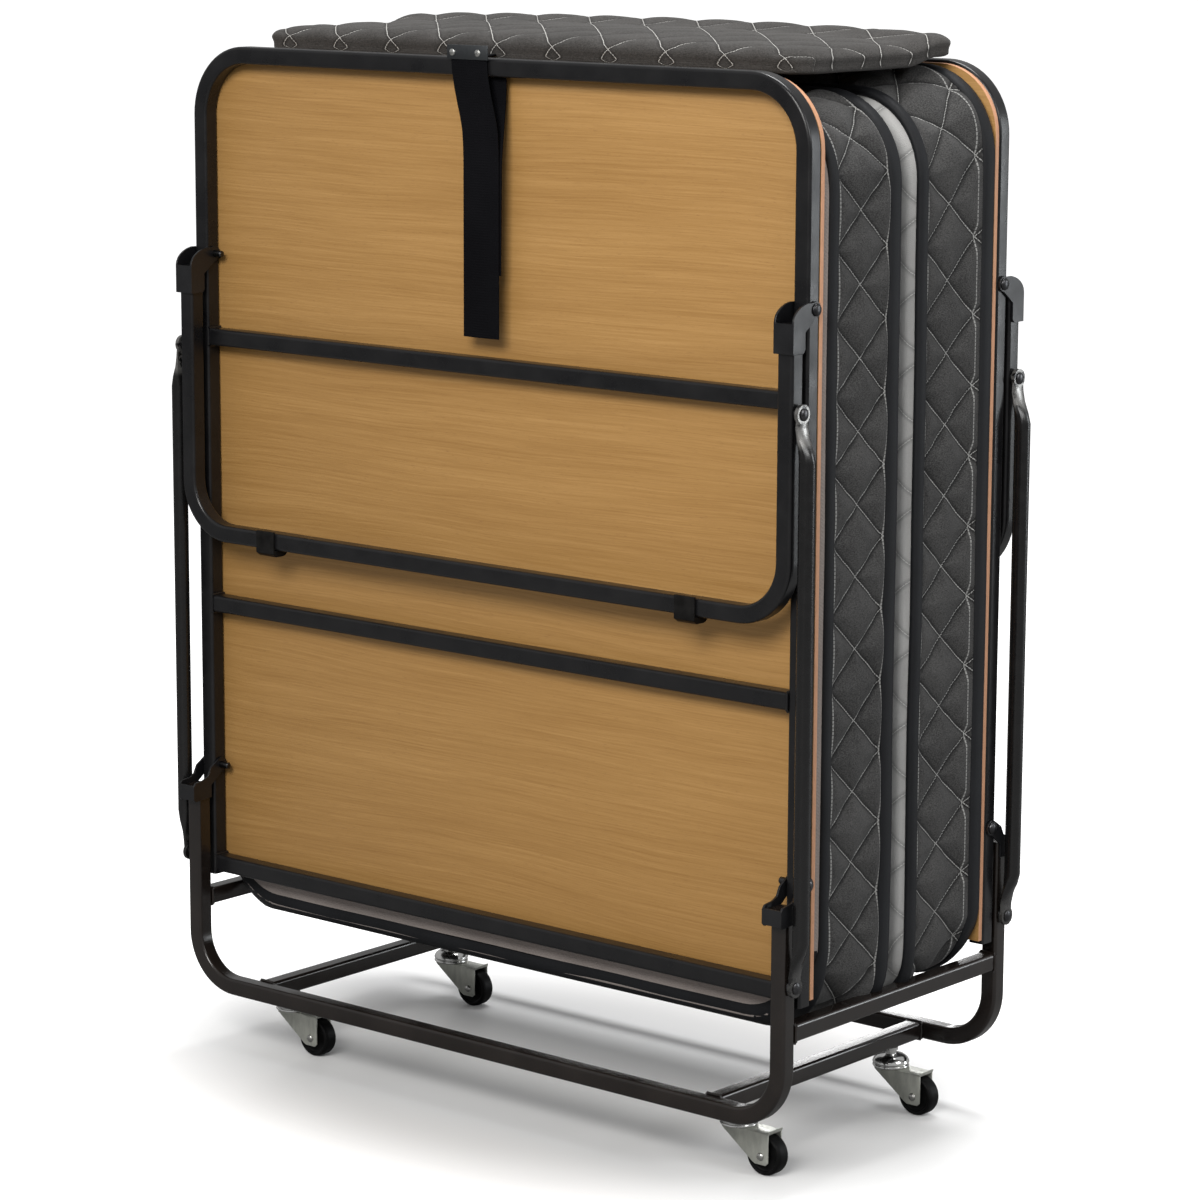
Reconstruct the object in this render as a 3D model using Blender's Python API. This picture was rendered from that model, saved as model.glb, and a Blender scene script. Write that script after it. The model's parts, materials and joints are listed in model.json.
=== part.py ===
"""Folding cot on casters: two hinged bed halves, each with a swinging end leg, on a rolling base.

Metres, +Z up. The cot stands folded, with its width along X and its front half towards -Y.
The origin is on the floor, under the middle of the base.
"""

from math import cos, pi, radians, sin

import bmesh
import bpy
from mathutils import Matrix, Vector

# ---- driving dimensions ----------------------------------------------------------------------

GAP = 0.0003                # air between pieces that rest on each other
TUBE = 0.020                # square tube of every frame
TUBE_ROUND = 0.0035         # corner radius of the tube's section
HALF_WIDTH = 0.450          # middle of the cot to the outer side of its frames

RAIL_Y = 0.1705             # middle plane of a bed rail
LEG_Y = 0.1965              # middle plane of the base posts and of the folded legs
RAIL_TOP = 1.196
RAIL_BOTTOM = 0.208
RAIL_BEND = 0.070           # bend radius at the tube's centre line

FOLD_Z = 0.342              # bed half on base post
LEG_PIVOT_Z = 0.954         # end leg on bed half
LINK_DROP = 0.106           # link eye below each of those pivots
POST_TOP = 0.3215
BASE_TOP = 0.0925           # top of the base's bottom tubes
BASE_BEND = 0.060
LEG_BOTTOM = 0.6205
LEG_TOP = LEG_PIVOT_Z - 0.013
LEG_BEND = 0.060
UPPER_BAR_TOP = 0.192
LOWER_BAR_X = 0.340

CROSSBAR_TOPS = {"upper": 0.867, "middle": 0.549, "lower": 0.232}

BOARD_THICK = 0.0065
BOARD_BOTTOM = 0.213
BOARD_ROUND = 0.076

CUSHION_INNER_Y = 0.0150
CUSHION_OUTER_Y = 0.1535
CUSHION_HALF = 0.4455
CUSHION_BOTTOM = FOLD_Z - RAIL_Y + 0.001
CUSHION_TOP = 1.168
CUSHION_ROUND = 0.090

PIN_RADIUS = 0.0040
PIN_HOLE = 0.0043
PIN_HEAD = 0.0065
EAR_THICK = 0.0025
EAR_NOSE = 0.0088
EAR_REACH = 0.0005          # air between an ear and the rail inside it

LINK_X = 0.4635             # axis of the link tubes
LINK_RADIUS = 0.0090
EYE_X = 0.4560              # middle of the flattened link ends
EYE_THICK = 0.0045
EYE_RADIUS = 0.0105
EYE_LENGTH = 0.014
EYE_TAPER = 0.036

FOOT_X = 0.312
FOOT_WIDTH = 0.028
FOOT_WALL = 0.0030
FOOT_SOLE = 0.0077

CASTER_X = LOWER_BAR_X
CASTER_Y = 0.141
CASTER_TRAIL = 0.040
WHEEL_RADIUS = 0.0230
WHEEL_WIDTH = 0.0180
AXLE_RADIUS = 0.0030
FORK_PLATE = 0.0018
FORK_INSIDE = 0.0103

PAD_HALF = 0.400
PAD_FRONT = -0.125
PAD_REAR = 0.166
PAD_BOTTOM = 1.1990
PAD_THICK = 0.038
PAD_ROUND = 0.030

PLATE_X = (-0.055, -0.001)
PLATE_Y = -0.1861           # front face of the strap plate
PLATE_THICK = 0.0015
PLATE_Z = (1.1990, 1.2150)
STRAP_X = (-0.048, 0.003)
STRAP_THICK = 0.0018
STRAP_BOTTOM = 0.890

ARC_STEPS = 6
PIN_SIDES = 12


# ---- scene, materials and small helpers ------------------------------------------------------

def clear_scene():
    for item in list(bpy.data.objects):
        bpy.data.objects.remove(item, do_unlink=True)


def make_material(name, colour, roughness, metallic):
    material = bpy.data.materials.new(name)
    material.use_nodes = True
    shader = material.node_tree.nodes["Principled BSDF"]
    shader.inputs["Base Color"].default_value = (*colour, 1.0)
    shader.inputs["Roughness"].default_value = roughness
    shader.inputs["Metallic"].default_value = metallic
    return material


def make_materials():
    return {
        "frame": make_material("black_satin_paint", (0.018, 0.018, 0.022), 0.40, 0.3),
        "base": make_material("brown_black_satin_paint", (0.026, 0.022, 0.020), 0.40, 0.3),
        "bracket": make_material("stamped_black_steel", (0.020, 0.020, 0.023), 0.45, 0.3),
        "pin": make_material("zinc_pin", (0.45, 0.45, 0.44), 0.30, 1.0),
        "board": make_material("beech_foil_board", (0.39, 0.23, 0.09), 0.50, 0.0),
        "cushion": make_material("charcoal_cover", (0.045, 0.045, 0.043), 0.90, 0.0),
        "pad": make_material("charcoal_pad_cover", (0.045, 0.045, 0.043), 0.90, 0.0),
        "foot": make_material("black_foot_plastic", (0.010, 0.010, 0.010), 0.60, 0.0),
        "chrome": make_material("bright_caster_head", (0.60, 0.60, 0.60), 0.12, 1.0),
        "fork": make_material("zinc_plated_fork", (0.33, 0.34, 0.30), 0.45, 0.9),
        "wheel": make_material("black_wheel", (0.008, 0.008, 0.008), 0.50, 0.0),
        "strap": make_material("black_webbing", (0.006, 0.006, 0.008), 0.85, 0.0),
    }


def add_object(name, mesh, material, origin=(0.0, 0.0, 0.0), parent=None):
    """Add the mesh, drawn in world coordinates, as an object whose origin is on its joint."""
    mesh.transform(Matrix.Translation(-Vector(origin)))
    item = bpy.data.objects.new(name, mesh)
    bpy.context.scene.collection.objects.link(item)
    mesh.materials.append(material)
    if parent is None:
        item.location = origin
    else:
        item.parent = parent
        item.location = Vector(origin) - parent.matrix_world.translation
    return item


def add_pivot(name, position, parent=None):
    """An empty that marks a joint's axis and carries the body that turns on it."""
    pivot = bpy.data.objects.new(name, None)
    pivot.empty_display_size = 0.03
    bpy.context.scene.collection.objects.link(pivot)
    pivot.location = position
    if parent is not None:
        pivot.parent = parent
        pivot.location = Vector(position) - parent.matrix_world.translation
    bpy.context.view_layer.update()
    return pivot


def finish_mesh(shape, name, smooth=False):
    """Point the faces outwards and turn the bmesh into a mesh."""
    bmesh.ops.recalc_face_normals(shape, faces=shape.faces)
    mesh = bpy.data.meshes.new(name)
    shape.to_mesh(mesh)
    shape.free()
    if smooth:
        mesh.shade_smooth()
        mesh.set_sharp_from_angle(angle=radians(35))
    return mesh


def arc_points(centre, radius, start, end, steps):
    """Points of an arc in a plane, from the start angle to the end angle in degrees."""
    angles = [radians(start + (end - start) * i / steps) for i in range(steps + 1)]
    return [(centre[0] + radius * cos(a), centre[1] + radius * sin(a)) for a in angles]


def rounded_outline(low, high, radii, steps):
    """A rectangle with its own radius at each corner: low-low, high-low, high-high, low-high."""
    corners = [(low[0], low[1]), (high[0], low[1]), (high[0], high[1]), (low[0], high[1])]
    inwards = [(1, 1), (-1, 1), (-1, -1), (1, -1)]
    points = []
    for number, (corner, inward, radius) in enumerate(zip(corners, inwards, radii)):
        centre = (corner[0] + inward[0] * radius, corner[1] + inward[1] * radius)
        start = 180 + 90 * number
        points += arc_points(centre, radius, start, start + 90, steps)
    return points


def loft(rings, closed_ends=True):
    """Join rings of equal length with faces and close both ends."""
    shape = bmesh.new()
    made = [[shape.verts.new(point) for point in ring] for ring in rings]
    count = len(made[0])
    for ring, following in zip(made, made[1:]):
        for i in range(count):
            j = (i + 1) % count
            shape.faces.new((ring[i], ring[j], following[j], following[i]))
    if closed_ends:
        shape.faces.new(made[0])
        shape.faces.new(reversed(made[-1]))
    return shape


def plate_mesh(name, outline, axis, low, high, bevel=0.0):
    """Extrude an outline along X, Y or Z. Its points lie in the other two axes, in order."""
    def place(point, depth):
        values = list(point)
        values.insert("XYZ".index(axis), depth)
        return values

    shape = loft([[place(p, low) for p in outline], [place(p, high) for p in outline]])
    if bevel:
        rim = [e for e in shape.edges
               if abs(e.verts[0].co["XYZ".index(axis)] - e.verts[1].co["XYZ".index(axis)]) < 1e-6]
        bmesh.ops.bevel(shape, geom=rim, offset=bevel, segments=2, profile=0.5,
                        affect="EDGES", clamp_overlap=True)
    return finish_mesh(shape, name)


def lathe_mesh(name, profile, centre, axis, sides=PIN_SIDES):
    """Turn a profile of (radius, place along the axis) round X, Y or Z through the centre."""
    order = {"X": (1, 2, 0), "Y": (2, 0, 1), "Z": (0, 1, 2)}[axis]
    shape = bmesh.new()

    def vertex(radius, along, angle):
        point = [0.0, 0.0, 0.0]
        point[order[0]] = centre[order[0]] + radius * cos(angle)
        point[order[1]] = centre[order[1]] + radius * sin(angle)
        point[order[2]] = centre[order[2]] + along
        return shape.verts.new(point)

    rings = []
    for radius, along in profile:
        if radius == 0:
            rings.append([vertex(0, along, 0)])
        else:
            rings.append([vertex(radius, along, 2 * pi * i / sides) for i in range(sides)])
    for ring, following in zip(rings, rings[1:]):
        for i in range(sides):
            j = (i + 1) % sides
            corners = [ring[i % len(ring)], ring[j % len(ring)],
                       following[j % len(following)], following[i % len(following)]]
            shape.faces.new(list(dict.fromkeys(corners)))
    if profile[0] == profile[-1]:
        bmesh.ops.remove_doubles(shape, verts=shape.verts, dist=1e-6)
    return finish_mesh(shape, name, smooth=True)


def combine(item, other_mesh, operation):
    """Cut a helper solid from an object, or join it on, and keep the result in the mesh."""
    helper = bpy.data.objects.new("helper", other_mesh)
    bpy.context.scene.collection.objects.link(helper)
    helper.hide_render = True
    helper.display_type = "WIRE"
    change = item.modifiers.new("change", "BOOLEAN")
    change.operation = operation
    change.solver = "EXACT"
    change.object = helper
    bpy.context.view_layer.update()
    helper.matrix_world = Matrix.Identity(4)
    bpy.context.view_layer.update()
    graph = bpy.context.evaluated_depsgraph_get()
    changed = bpy.data.meshes.new_from_object(item.evaluated_get(graph))
    item.modifiers.clear()
    item.data = changed
    bpy.data.objects.remove(helper, do_unlink=True)


def rod_mesh(centre, radius, axis, low, high, sides=PIN_SIDES):
    """A plain round rod, used for holes and for joined studs."""
    profile = [(0, low), (radius, low), (radius, high), (0, high)]
    return lathe_mesh("rod", profile, centre, axis, sides)


# ---- bent square tube ------------------------------------------------------------------------

def tube_section():
    """The tube's section: a square with rounded corners, round the tube's centre line."""
    half = TUBE / 2
    return rounded_outline((-half, -half), (half, half), [TUBE_ROUND] * 4, 2)


def sweep_section(stations):
    """Loft the tube's section through (centre, in-plane normal) stations in an XZ plane."""
    across = Vector((0, 1, 0))
    rings = [[centre + side * u + across * v for u, v in tube_section()]
             for centre, side in stations]
    return loft(rings)


def u_stations(y, half, leg_end, turn_z, radius, upwards):
    """Stations of a U in the plane y: side, bend, cross run, bend, side.

    The sides run to leg_end; turn_z is the centre line of the cross run. upwards says that the
    sides stand up from the cross run, as on the base; otherwise they hang from it.
    """
    sign = -1.0 if upwards else 1.0
    bend_z = turn_z - sign * radius
    stations = [(Vector((-half, y, leg_end)), Vector((-1, 0, 0)))]
    for i in range(ARC_STEPS + 1):
        angle = radians(90 * i / ARC_STEPS)
        side = Vector((-cos(angle), 0, sign * sin(angle)))
        stations.append((Vector((-half + radius, y, bend_z)) + side * radius, side))
    for i in range(ARC_STEPS + 1):
        angle = radians(90 * i / ARC_STEPS)
        side = Vector((sin(angle), 0, sign * cos(angle)))
        stations.append((Vector((half - radius, y, bend_z)) + side * radius, side))
    stations.append((Vector((half, y, leg_end)), Vector((1, 0, 0))))
    return stations


def u_tube(name, y, leg_end, turn_z, radius, upwards, material, origin, parent):
    centre_half = HALF_WIDTH - TUBE / 2
    stations = u_stations(y, centre_half, leg_end, turn_z, radius, upwards)
    mesh = finish_mesh(sweep_section(stations), name, smooth=True)
    return add_object(name, mesh, material, origin, parent)


def straight_bar(name, axis, low, high, centre, material, origin=(0, 0, 0), parent=None):
    """A straight length of the square tube along X or Y, centred on two other values."""
    outline = [(centre[0] + u, centre[1] + v) for u, v in tube_section()]
    mesh = plate_mesh(name, outline, axis, low, high)
    mesh.shade_smooth()
    mesh.set_sharp_from_angle(angle=radians(50))
    return add_object(name, mesh, material, origin, parent)


# ---- pins, studs and holes -------------------------------------------------------------------

def cut_side_holes(item, y, z):
    """Cross-drill both sides of a U tube for the pins."""
    for side in (-1, 1):
        centre = (side * (HALF_WIDTH - TUBE / 2), y, z)
        combine(item, rod_mesh(centre, PIN_HOLE, "X", -TUBE, TUBE), "DIFFERENCE")


def join_studs(item, y, z):
    """Weld a shouldered stud to the outer side of each side tube, for the link eyes."""
    shoulder_end = EYE_X - EYE_THICK / 2 - GAP
    head_start = EYE_X + EYE_THICK / 2 + GAP
    profile = [(0, -0.004), (0.0070, -0.004), (0.0070, shoulder_end - HALF_WIDTH),
               (PIN_RADIUS, shoulder_end - HALF_WIDTH), (PIN_RADIUS, head_start - HALF_WIDTH),
               (PIN_HEAD, head_start - HALF_WIDTH), (PIN_HEAD, head_start - HALF_WIDTH + 0.0015),
               (0.0045, head_start - HALF_WIDTH + 0.0028), (0, head_start - HALF_WIDTH + 0.0028)]
    for side in (-1, 1):
        turned = [(radius, side * along) for radius, along in profile]
        combine(item, lathe_mesh("stud", turned, (side * HALF_WIDTH, y, z), "X"), "UNION")


def hinge_pin(name, side, y, z, material, parent):
    """A headed pin through the rail and both ears, with its tip inside the frame."""
    tip = HALF_WIDTH - TUBE - 0.0150
    ear_outside = HALF_WIDTH + EAR_REACH + EAR_THICK
    middle = HALF_WIDTH - TUBE / 2
    profile = [(0, tip), (PIN_RADIUS - 0.001, tip), (PIN_RADIUS, tip + 0.001),
               (PIN_RADIUS, ear_outside + GAP), (PIN_HEAD, ear_outside + GAP),
               (PIN_HEAD, ear_outside + GAP + 0.0010), (0.0045, ear_outside + GAP + 0.0022),
               (0, ear_outside + GAP + 0.0022)]
    turned = [(radius, side * (along - middle)) for radius, along in profile]
    mesh = lathe_mesh(name, turned, (side * middle, y, z), "X")
    return add_object(name, mesh, material, (side * middle, y, z), parent)


# ---- stamped hinge brackets ------------------------------------------------------------------

def ear_outline(pivot, outline_below):
    """Side view of an ear in (outboard y, z): a round nose at the pivot and a body below it."""
    return arc_points(pivot, EAR_NOSE, 60, 270, 8) + outline_below


def bracket(name, side, front, pivot_z, web, shoulder, material, origin, parent):
    """A channel pressed from plate: two ears on the rail's pin and a web round the tube's front.

    web is (outboard y of its outer face, bottom z, top z). shoulder is the list of side view
    points from the nose's underside round the bottom and front to the nose's top.
    """
    web_y, web_bottom, web_top = web
    outline = ear_outline((RAIL_Y, pivot_z), shoulder)
    inner = HALF_WIDTH - TUBE - EAR_REACH
    outer = HALF_WIDTH + EAR_REACH
    faces = [(inner - EAR_THICK, inner), (outer, outer + EAR_THICK)]
    solids = []
    for low, high in faces:
        points = [(front * y, z) for y, z in outline]
        solids.append(plate_mesh("ear", points, "X", min(side * low, side * high),
                                 max(side * low, side * high)))
    item = add_object(name, solids[0], material, origin, parent)
    combine(item, solids[1], "UNION")
    web_low = inner - EAR_THICK / 2
    web_high = outer + EAR_THICK / 2
    web_mesh = plate_mesh(
        "web",
        [(front * (web_y - EAR_THICK), web_bottom), (front * web_y, web_bottom),
         (front * web_y, web_top), (front * (web_y - EAR_THICK), web_top)],
        "X", min(side * web_low, side * web_high), max(side * web_low, side * web_high))
    combine(item, web_mesh, "UNION")
    centre = (side * (HALF_WIDTH - TUBE / 2), front * RAIL_Y, pivot_z)
    combine(item, rod_mesh(centre, PIN_HOLE, "X", -0.03, 0.03), "DIFFERENCE")
    item.data.materials.clear()
    item.data.materials.append(material)
    return item


def leg_bracket(name, side, front, material, origin, parent):
    """Quarter-round ears over a flat web that clasps the top of the leg."""
    web_y = LEG_Y + TUBE / 2 + GAP + EAR_THICK
    rear_y = LEG_Y - TUBE / 2 + 0.0015
    top = LEG_PIVOT_Z - 0.0120
    bottom = LEG_PIVOT_Z - 0.0440
    sweep = arc_points((RAIL_Y + 0.006, top), 1.0, 0, 75, 6)
    wide = web_y - RAIL_Y - 0.006
    tall = 0.0205
    crown = [(RAIL_Y + 0.006 + (y - RAIL_Y - 0.006) * wide, top + (z - top) * tall)
             for y, z in sweep]
    below = [(rear_y, LEG_PIVOT_Z - 0.022), (rear_y, bottom + 0.004), (rear_y + 0.003, bottom),
             (web_y, bottom)] + crown
    return bracket(name, side, front, LEG_PIVOT_Z, (web_y, bottom, top), below, material,
                   origin, parent)


def post_bracket(name, side, front, material, origin, parent):
    """Narrow ears that step out to a cup, which is the stop under the open bed half."""
    cup_y = LEG_Y + TUBE / 2 + 0.0110
    top = FOLD_Z - 0.0160
    bottom = FOLD_Z - 0.0370
    rear_y = LEG_Y - TUBE / 2 + 0.0015
    below = [(rear_y, FOLD_Z - 0.022), (rear_y, bottom), (cup_y - 0.003, bottom - 0.002),
             (cup_y, bottom + 0.001), (cup_y, top - 0.004), (cup_y - 0.0035, top),
             (LEG_Y + 0.0050, top + 0.0015), (LEG_Y - 0.0030, top + 0.0050),
             (LEG_Y - 0.0080, top + 0.0150)]
    return bracket(name, side, front, FOLD_Z, (cup_y, bottom, top - 0.003), below, material,
                   origin, parent)


def join_post_web(item, side, front):
    """Tie the cup's web back to the post with a rib, so that the cup is one pressing with it."""
    inner = HALF_WIDTH - TUBE - EAR_REACH - EAR_THICK / 2
    outer = HALF_WIDTH + EAR_REACH + EAR_THICK / 2
    post_face = LEG_Y + TUBE / 2 + GAP
    cup_y = LEG_Y + TUBE / 2 + 0.0110
    rib = [(front * post_face, FOLD_Z - 0.0360), (front * (cup_y - 0.001), FOLD_Z - 0.0360),
           (front * (cup_y - 0.001), FOLD_Z - 0.0335), (front * post_face, FOLD_Z - 0.0335)]
    mesh = plate_mesh("rib", rib, "X", min(side * inner, side * outer),
                      max(side * inner, side * outer))
    combine(item, mesh, "UNION")


# ---- bed halves ------------------------------------------------------------------------------

def board_mesh(name, front):
    edge = HALF_WIDTH - 0.0010
    top = RAIL_TOP - 0.0040
    outline = rounded_outline((-edge, BOARD_BOTTOM), (edge, top),
                              (0.002, 0.002, BOARD_ROUND, BOARD_ROUND), 6)
    outer = RAIL_Y - TUBE / 2 - GAP
    low, high = sorted((front * outer, front * (outer - BOARD_THICK)))
    return plate_mesh(name, outline, "Y", low, high)


def cushion_mesh(name, front):
    outline = rounded_outline((-CUSHION_HALF, CUSHION_BOTTOM), (CUSHION_HALF, CUSHION_TOP),
                              [CUSHION_ROUND] * 4, 5)
    low, high = sorted((front * CUSHION_INNER_Y, front * CUSHION_OUTER_Y))
    return plate_mesh(name, outline, "Y", low, high, bevel=0.012)


def build_half(word, front, base, paint):
    """One bed half: rail, crossbars, board, cushion and pins, all turning on the fold axis."""
    y = front * RAIL_Y
    pivot = add_pivot(word + "_fold_axis", (0, y, FOLD_Z), base)
    here = (0, y, FOLD_Z)
    rail = u_tube(word + "_rail", y, RAIL_BOTTOM, RAIL_TOP - TUBE / 2, RAIL_BEND, False,
                  paint["frame"], here, pivot)
    cut_side_holes(rail, y, FOLD_Z)
    cut_side_holes(rail, y, LEG_PIVOT_Z)
    reach = HALF_WIDTH - TUBE - GAP
    for place, top in CROSSBAR_TOPS.items():
        straight_bar(word + "_crossbar_" + place, "X", -reach, reach, (y, top - TUBE / 2),
                     paint["frame"], here, pivot)
    add_object(word + "_board", board_mesh("board", front), paint["board"], here, pivot)
    add_object(word + "_cushion", cushion_mesh("cushion", front), paint["cushion"], here, pivot)
    for side, label in ((-1, "left"), (1, "right")):
        hinge_pin(f"{word}_fold_pin_{label}", side, y, FOLD_Z, paint["pin"], pivot)
        hinge_pin(f"{word}_leg_pin_{label}", side, y, LEG_PIVOT_Z, paint["pin"], pivot)
    return pivot


def foot_mesh(name, centre_x, front):
    """A plastic clip round the leg's bottom run, with a thick sole below and an open back."""
    half = TUBE / 2 + GAP
    wall = FOOT_WALL
    z = LEG_BOTTOM + TUBE / 2
    outline = [
        (half + wall, half + 0.0015), (half - 0.001, half + 0.0015),
        (half, half - 0.003), (half, -half), (-half, -half), (-half, half - 0.006),
        (-half - 0.0022, half - 0.004), (-half - 0.0025, -half - 0.002),
        (-half + 0.003, -half - FOOT_SOLE + 0.001), (-half + 0.006, -half - FOOT_SOLE),
        (half - 0.003, -half - FOOT_SOLE), (half + wall, -half - FOOT_SOLE + 0.004),
    ]
    points = [(front * (LEG_Y + u), z + v) for u, v in outline]
    return plate_mesh(name, points, "X", centre_x - FOOT_WIDTH / 2, centre_x + FOOT_WIDTH / 2)


def build_leg(word, front, half, paint):
    """The U-shaped end leg with its brackets and feet, turning on the bed half."""
    here = (0, front * RAIL_Y, LEG_PIVOT_Z)
    pivot = add_pivot(word + "_leg_axis", here, half)
    tube = u_tube(word + "_leg_tube", front * LEG_Y, LEG_TOP, LEG_BOTTOM + TUBE / 2, LEG_BEND,
                  True, paint["frame"], here, pivot)
    join_studs(tube, front * LEG_Y, LEG_PIVOT_Z - LINK_DROP)
    for side, label in ((-1, "left"), (1, "right")):
        leg_bracket(f"{word}_leg_bracket_{label}", side, front, paint["bracket"], here, pivot)
        mesh = foot_mesh("foot", side * FOOT_X, front)
        add_object(f"{word}_foot_{label}", mesh, paint["foot"], here, pivot)
    return pivot


# ---- links -----------------------------------------------------------------------------------

def link_rings(side, y, low_z, high_z):
    """Rings up a link tube: flat paddle, taper, round tube, taper, flat paddle."""
    sides = 12

    def ring(z, half_x, half_y, shift):
        return [Vector((side * (EYE_X + shift) + half_x * cos(2 * pi * i / sides),
                        y + half_y * sin(2 * pi * i / sides), z)) for i in range(sides)]

    offset = LINK_X - EYE_X
    flat = EYE_THICK / 2
    levels = []
    for end, inward in ((low_z, 1), (high_z, -1)):
        stations = [(0.0, flat, EYE_RADIUS * 0.93, 0.0), (EYE_LENGTH, flat, 0.0112, 0.0)]
        for i in range(1, 4):
            t = i / 3
            ease = t * t * (3 - 2 * t)
            stations.append((EYE_LENGTH + EYE_TAPER * t, flat + (LINK_RADIUS - flat) * ease,
                             0.0112 + (LINK_RADIUS - 0.0112) * ease, offset * ease))
        levels.append([(end + inward * s[0], *s[1:]) for s in stations])
    ordered = levels[0] + levels[1][::-1]
    return [ring(*level) for level in ordered]


def build_link(name, side, front, base, paint):
    """A tube with flattened, eyed ends, from the base post's stud to the leg's stud."""
    y = front * LEG_Y
    low_z = FOLD_Z - LINK_DROP
    high_z = LEG_PIVOT_Z - LINK_DROP
    here = (side * EYE_X, y, low_z)
    mesh = finish_mesh(loft(link_rings(side, y, low_z, high_z)), name, smooth=True)
    item = add_object(name, mesh, paint["frame"], here, base)
    for z in (low_z, high_z):
        eye = rod_mesh((side * EYE_X, y, z), EYE_RADIUS, "X", -EYE_THICK / 2, EYE_THICK / 2, 16)
        combine(item, eye, "UNION")
        combine(item, rod_mesh((side * EYE_X, y, z), PIN_HOLE, "X", -0.02, 0.02), "DIFFERENCE")
    item.data.materials.clear()
    item.data.materials.append(paint["frame"])
    return item


# ---- base and casters ------------------------------------------------------------------------

def build_base(paint):
    base = add_pivot("base_frame", (0, 0, 0))
    for word, front in (("front", -1), ("rear", 1)):
        y = front * LEG_Y
        tube = u_tube(f"base_{word}_tube", y, POST_TOP, BASE_TOP - TUBE / 2, BASE_BEND, True,
                      paint["base"], (0, y, 0), base)
        join_studs(tube, y, FOLD_Z - LINK_DROP)
        for side, label in ((-1, "left"), (1, "right")):
            name = f"{word}_post_bracket_{label}"
            item = post_bracket(name, side, front, paint["bracket"],
                                (0, front * RAIL_Y, FOLD_Z), base)
            join_post_web(item, side, front)
    reach = LEG_Y - TUBE / 2 - GAP
    for side, label in ((-1, "left"), (1, "right")):
        post_x = side * (HALF_WIDTH - TUBE / 2)
        straight_bar(f"base_upper_bar_{label}", "Y", -reach, reach,
                     (post_x, UPPER_BAR_TOP - TUBE / 2), paint["base"], parent=base)
        straight_bar(f"base_lower_bar_{label}", "Y", -reach, reach,
                     (side * LOWER_BAR_X, BASE_TOP - TUBE / 2), paint["base"], parent=base)
    return base


def caster_head_mesh(x, y):
    """The stem, the domed race and the kingpin that the fork turns on."""
    bar = BASE_TOP - TUBE - GAP
    profile = [(0, bar), (0.0080, bar), (0.0080, 0.0665), (0.0060, 0.0660), (0.0060, 0.0635),
               (0.0110, 0.0628), (0.0165, 0.0605), (0.0195, 0.0570), (0.0200, 0.0545),
               (0.0185, 0.0530), (0.0030, 0.0530), (0.0030, 0.0468), (0.0, 0.0468)]
    return lathe_mesh("head", profile, (x, y, 0), "Z", 18)


def fork_mesh(name, x, y, material, origin, parent):
    """The swivel plate, two cheeks and the riveted axle."""
    ring = [(0.0034, 0.0525), (0.0180, 0.0525), (0.0195, 0.0508), (0.0185, 0.0482),
            (0.0034, 0.0482), (0.0034, 0.0525)]
    item = add_object(name, lathe_mesh("plate", ring, (x, y, 0), "Z", 18), material, origin,
                      parent)
    outside = FORK_INSIDE + FORK_PLATE
    rear = 0.0540
    bridge = [(x + 0.0150, 0.0482), (x + rear, 0.0482), (x + rear, 0.0500), (x + 0.0150, 0.0500)]
    combine(item, plate_mesh("bridge", bridge, "Y", y - outside, y + outside), "UNION")
    cheek = [(x - 0.0080, 0.0492), (x - 0.0080, 0.0450), (x + 0.0120, 0.0300),
             (x + 0.0290, 0.0165), (x + 0.0330, 0.0150), (x + 0.0510, 0.0150),
             (x + rear, 0.0180), (x + rear, 0.0492)]
    for side in (-1, 1):
        low, high = sorted((y + side * FORK_INSIDE, y + side * outside))
        combine(item, plate_mesh("cheek", cheek, "Y", low, high), "UNION")
    axle = x + CASTER_TRAIL
    rivet = outside + 0.0016
    profile = [(0, -rivet), (0.0030, -rivet), (0.0045, -outside - 0.0004),
               (0.0045, -outside + 0.0005), (AXLE_RADIUS, -outside + 0.0005),
               (AXLE_RADIUS, outside - 0.0005), (0.0045, outside - 0.0005),
               (0.0045, outside + 0.0004), (0.0030, rivet), (0, rivet)]
    combine(item, lathe_mesh("axle", profile, (axle, y, WHEEL_RADIUS), "Y", PIN_SIDES), "UNION")
    item.data.materials.clear()
    item.data.materials.append(material)
    return item


def wheel_mesh(x, y):
    """A moulded wheel: tread with eased edges, a dished web and a hub."""
    half = WHEEL_WIDTH / 2
    bore = AXLE_RADIUS + 0.0003
    rim = [(bore, half), (0.0065, half), (0.0075, half - 0.003), (0.0170, half - 0.003),
           (0.0185, half), (0.0212, half), (WHEEL_RADIUS, half - 0.003)]
    profile = [(radius, -along) for radius, along in rim] + rim[::-1] + [(bore, -half)]
    return lathe_mesh("wheel", profile, (x + CASTER_TRAIL, y, WHEEL_RADIUS), "Y", 24)


def build_casters(base, paint):
    for word, front in (("front", -1), ("rear", 1)):
        for label, side in (("left", -1), ("right", 1)):
            x = side * CASTER_X
            y = front * CASTER_Y
            tag = f"{word}_{label}"
            add_object("caster_head_" + tag, caster_head_mesh(x, y), paint["chrome"],
                       (x, y, BASE_TOP - TUBE), base)
            swivel = add_pivot("caster_swivel_axis_" + tag, (x, y, 0.050), base)
            fork_mesh("caster_fork_" + tag, x, y, paint["fork"], (x, y, 0.050), swivel)
            add_object("caster_wheel_" + tag, wheel_mesh(x, y), paint["wheel"],
                       (x + CASTER_TRAIL, y, WHEEL_RADIUS), swivel)


# ---- headboard and strap ---------------------------------------------------------------------

def pad_mesh():
    outline = rounded_outline((-PAD_HALF, PAD_FRONT), (PAD_HALF, PAD_REAR), [PAD_ROUND] * 4, 4)
    return plate_mesh("pad", outline, "Z", PAD_BOTTOM, PAD_BOTTOM + PAD_THICK, bevel=0.008)


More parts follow.
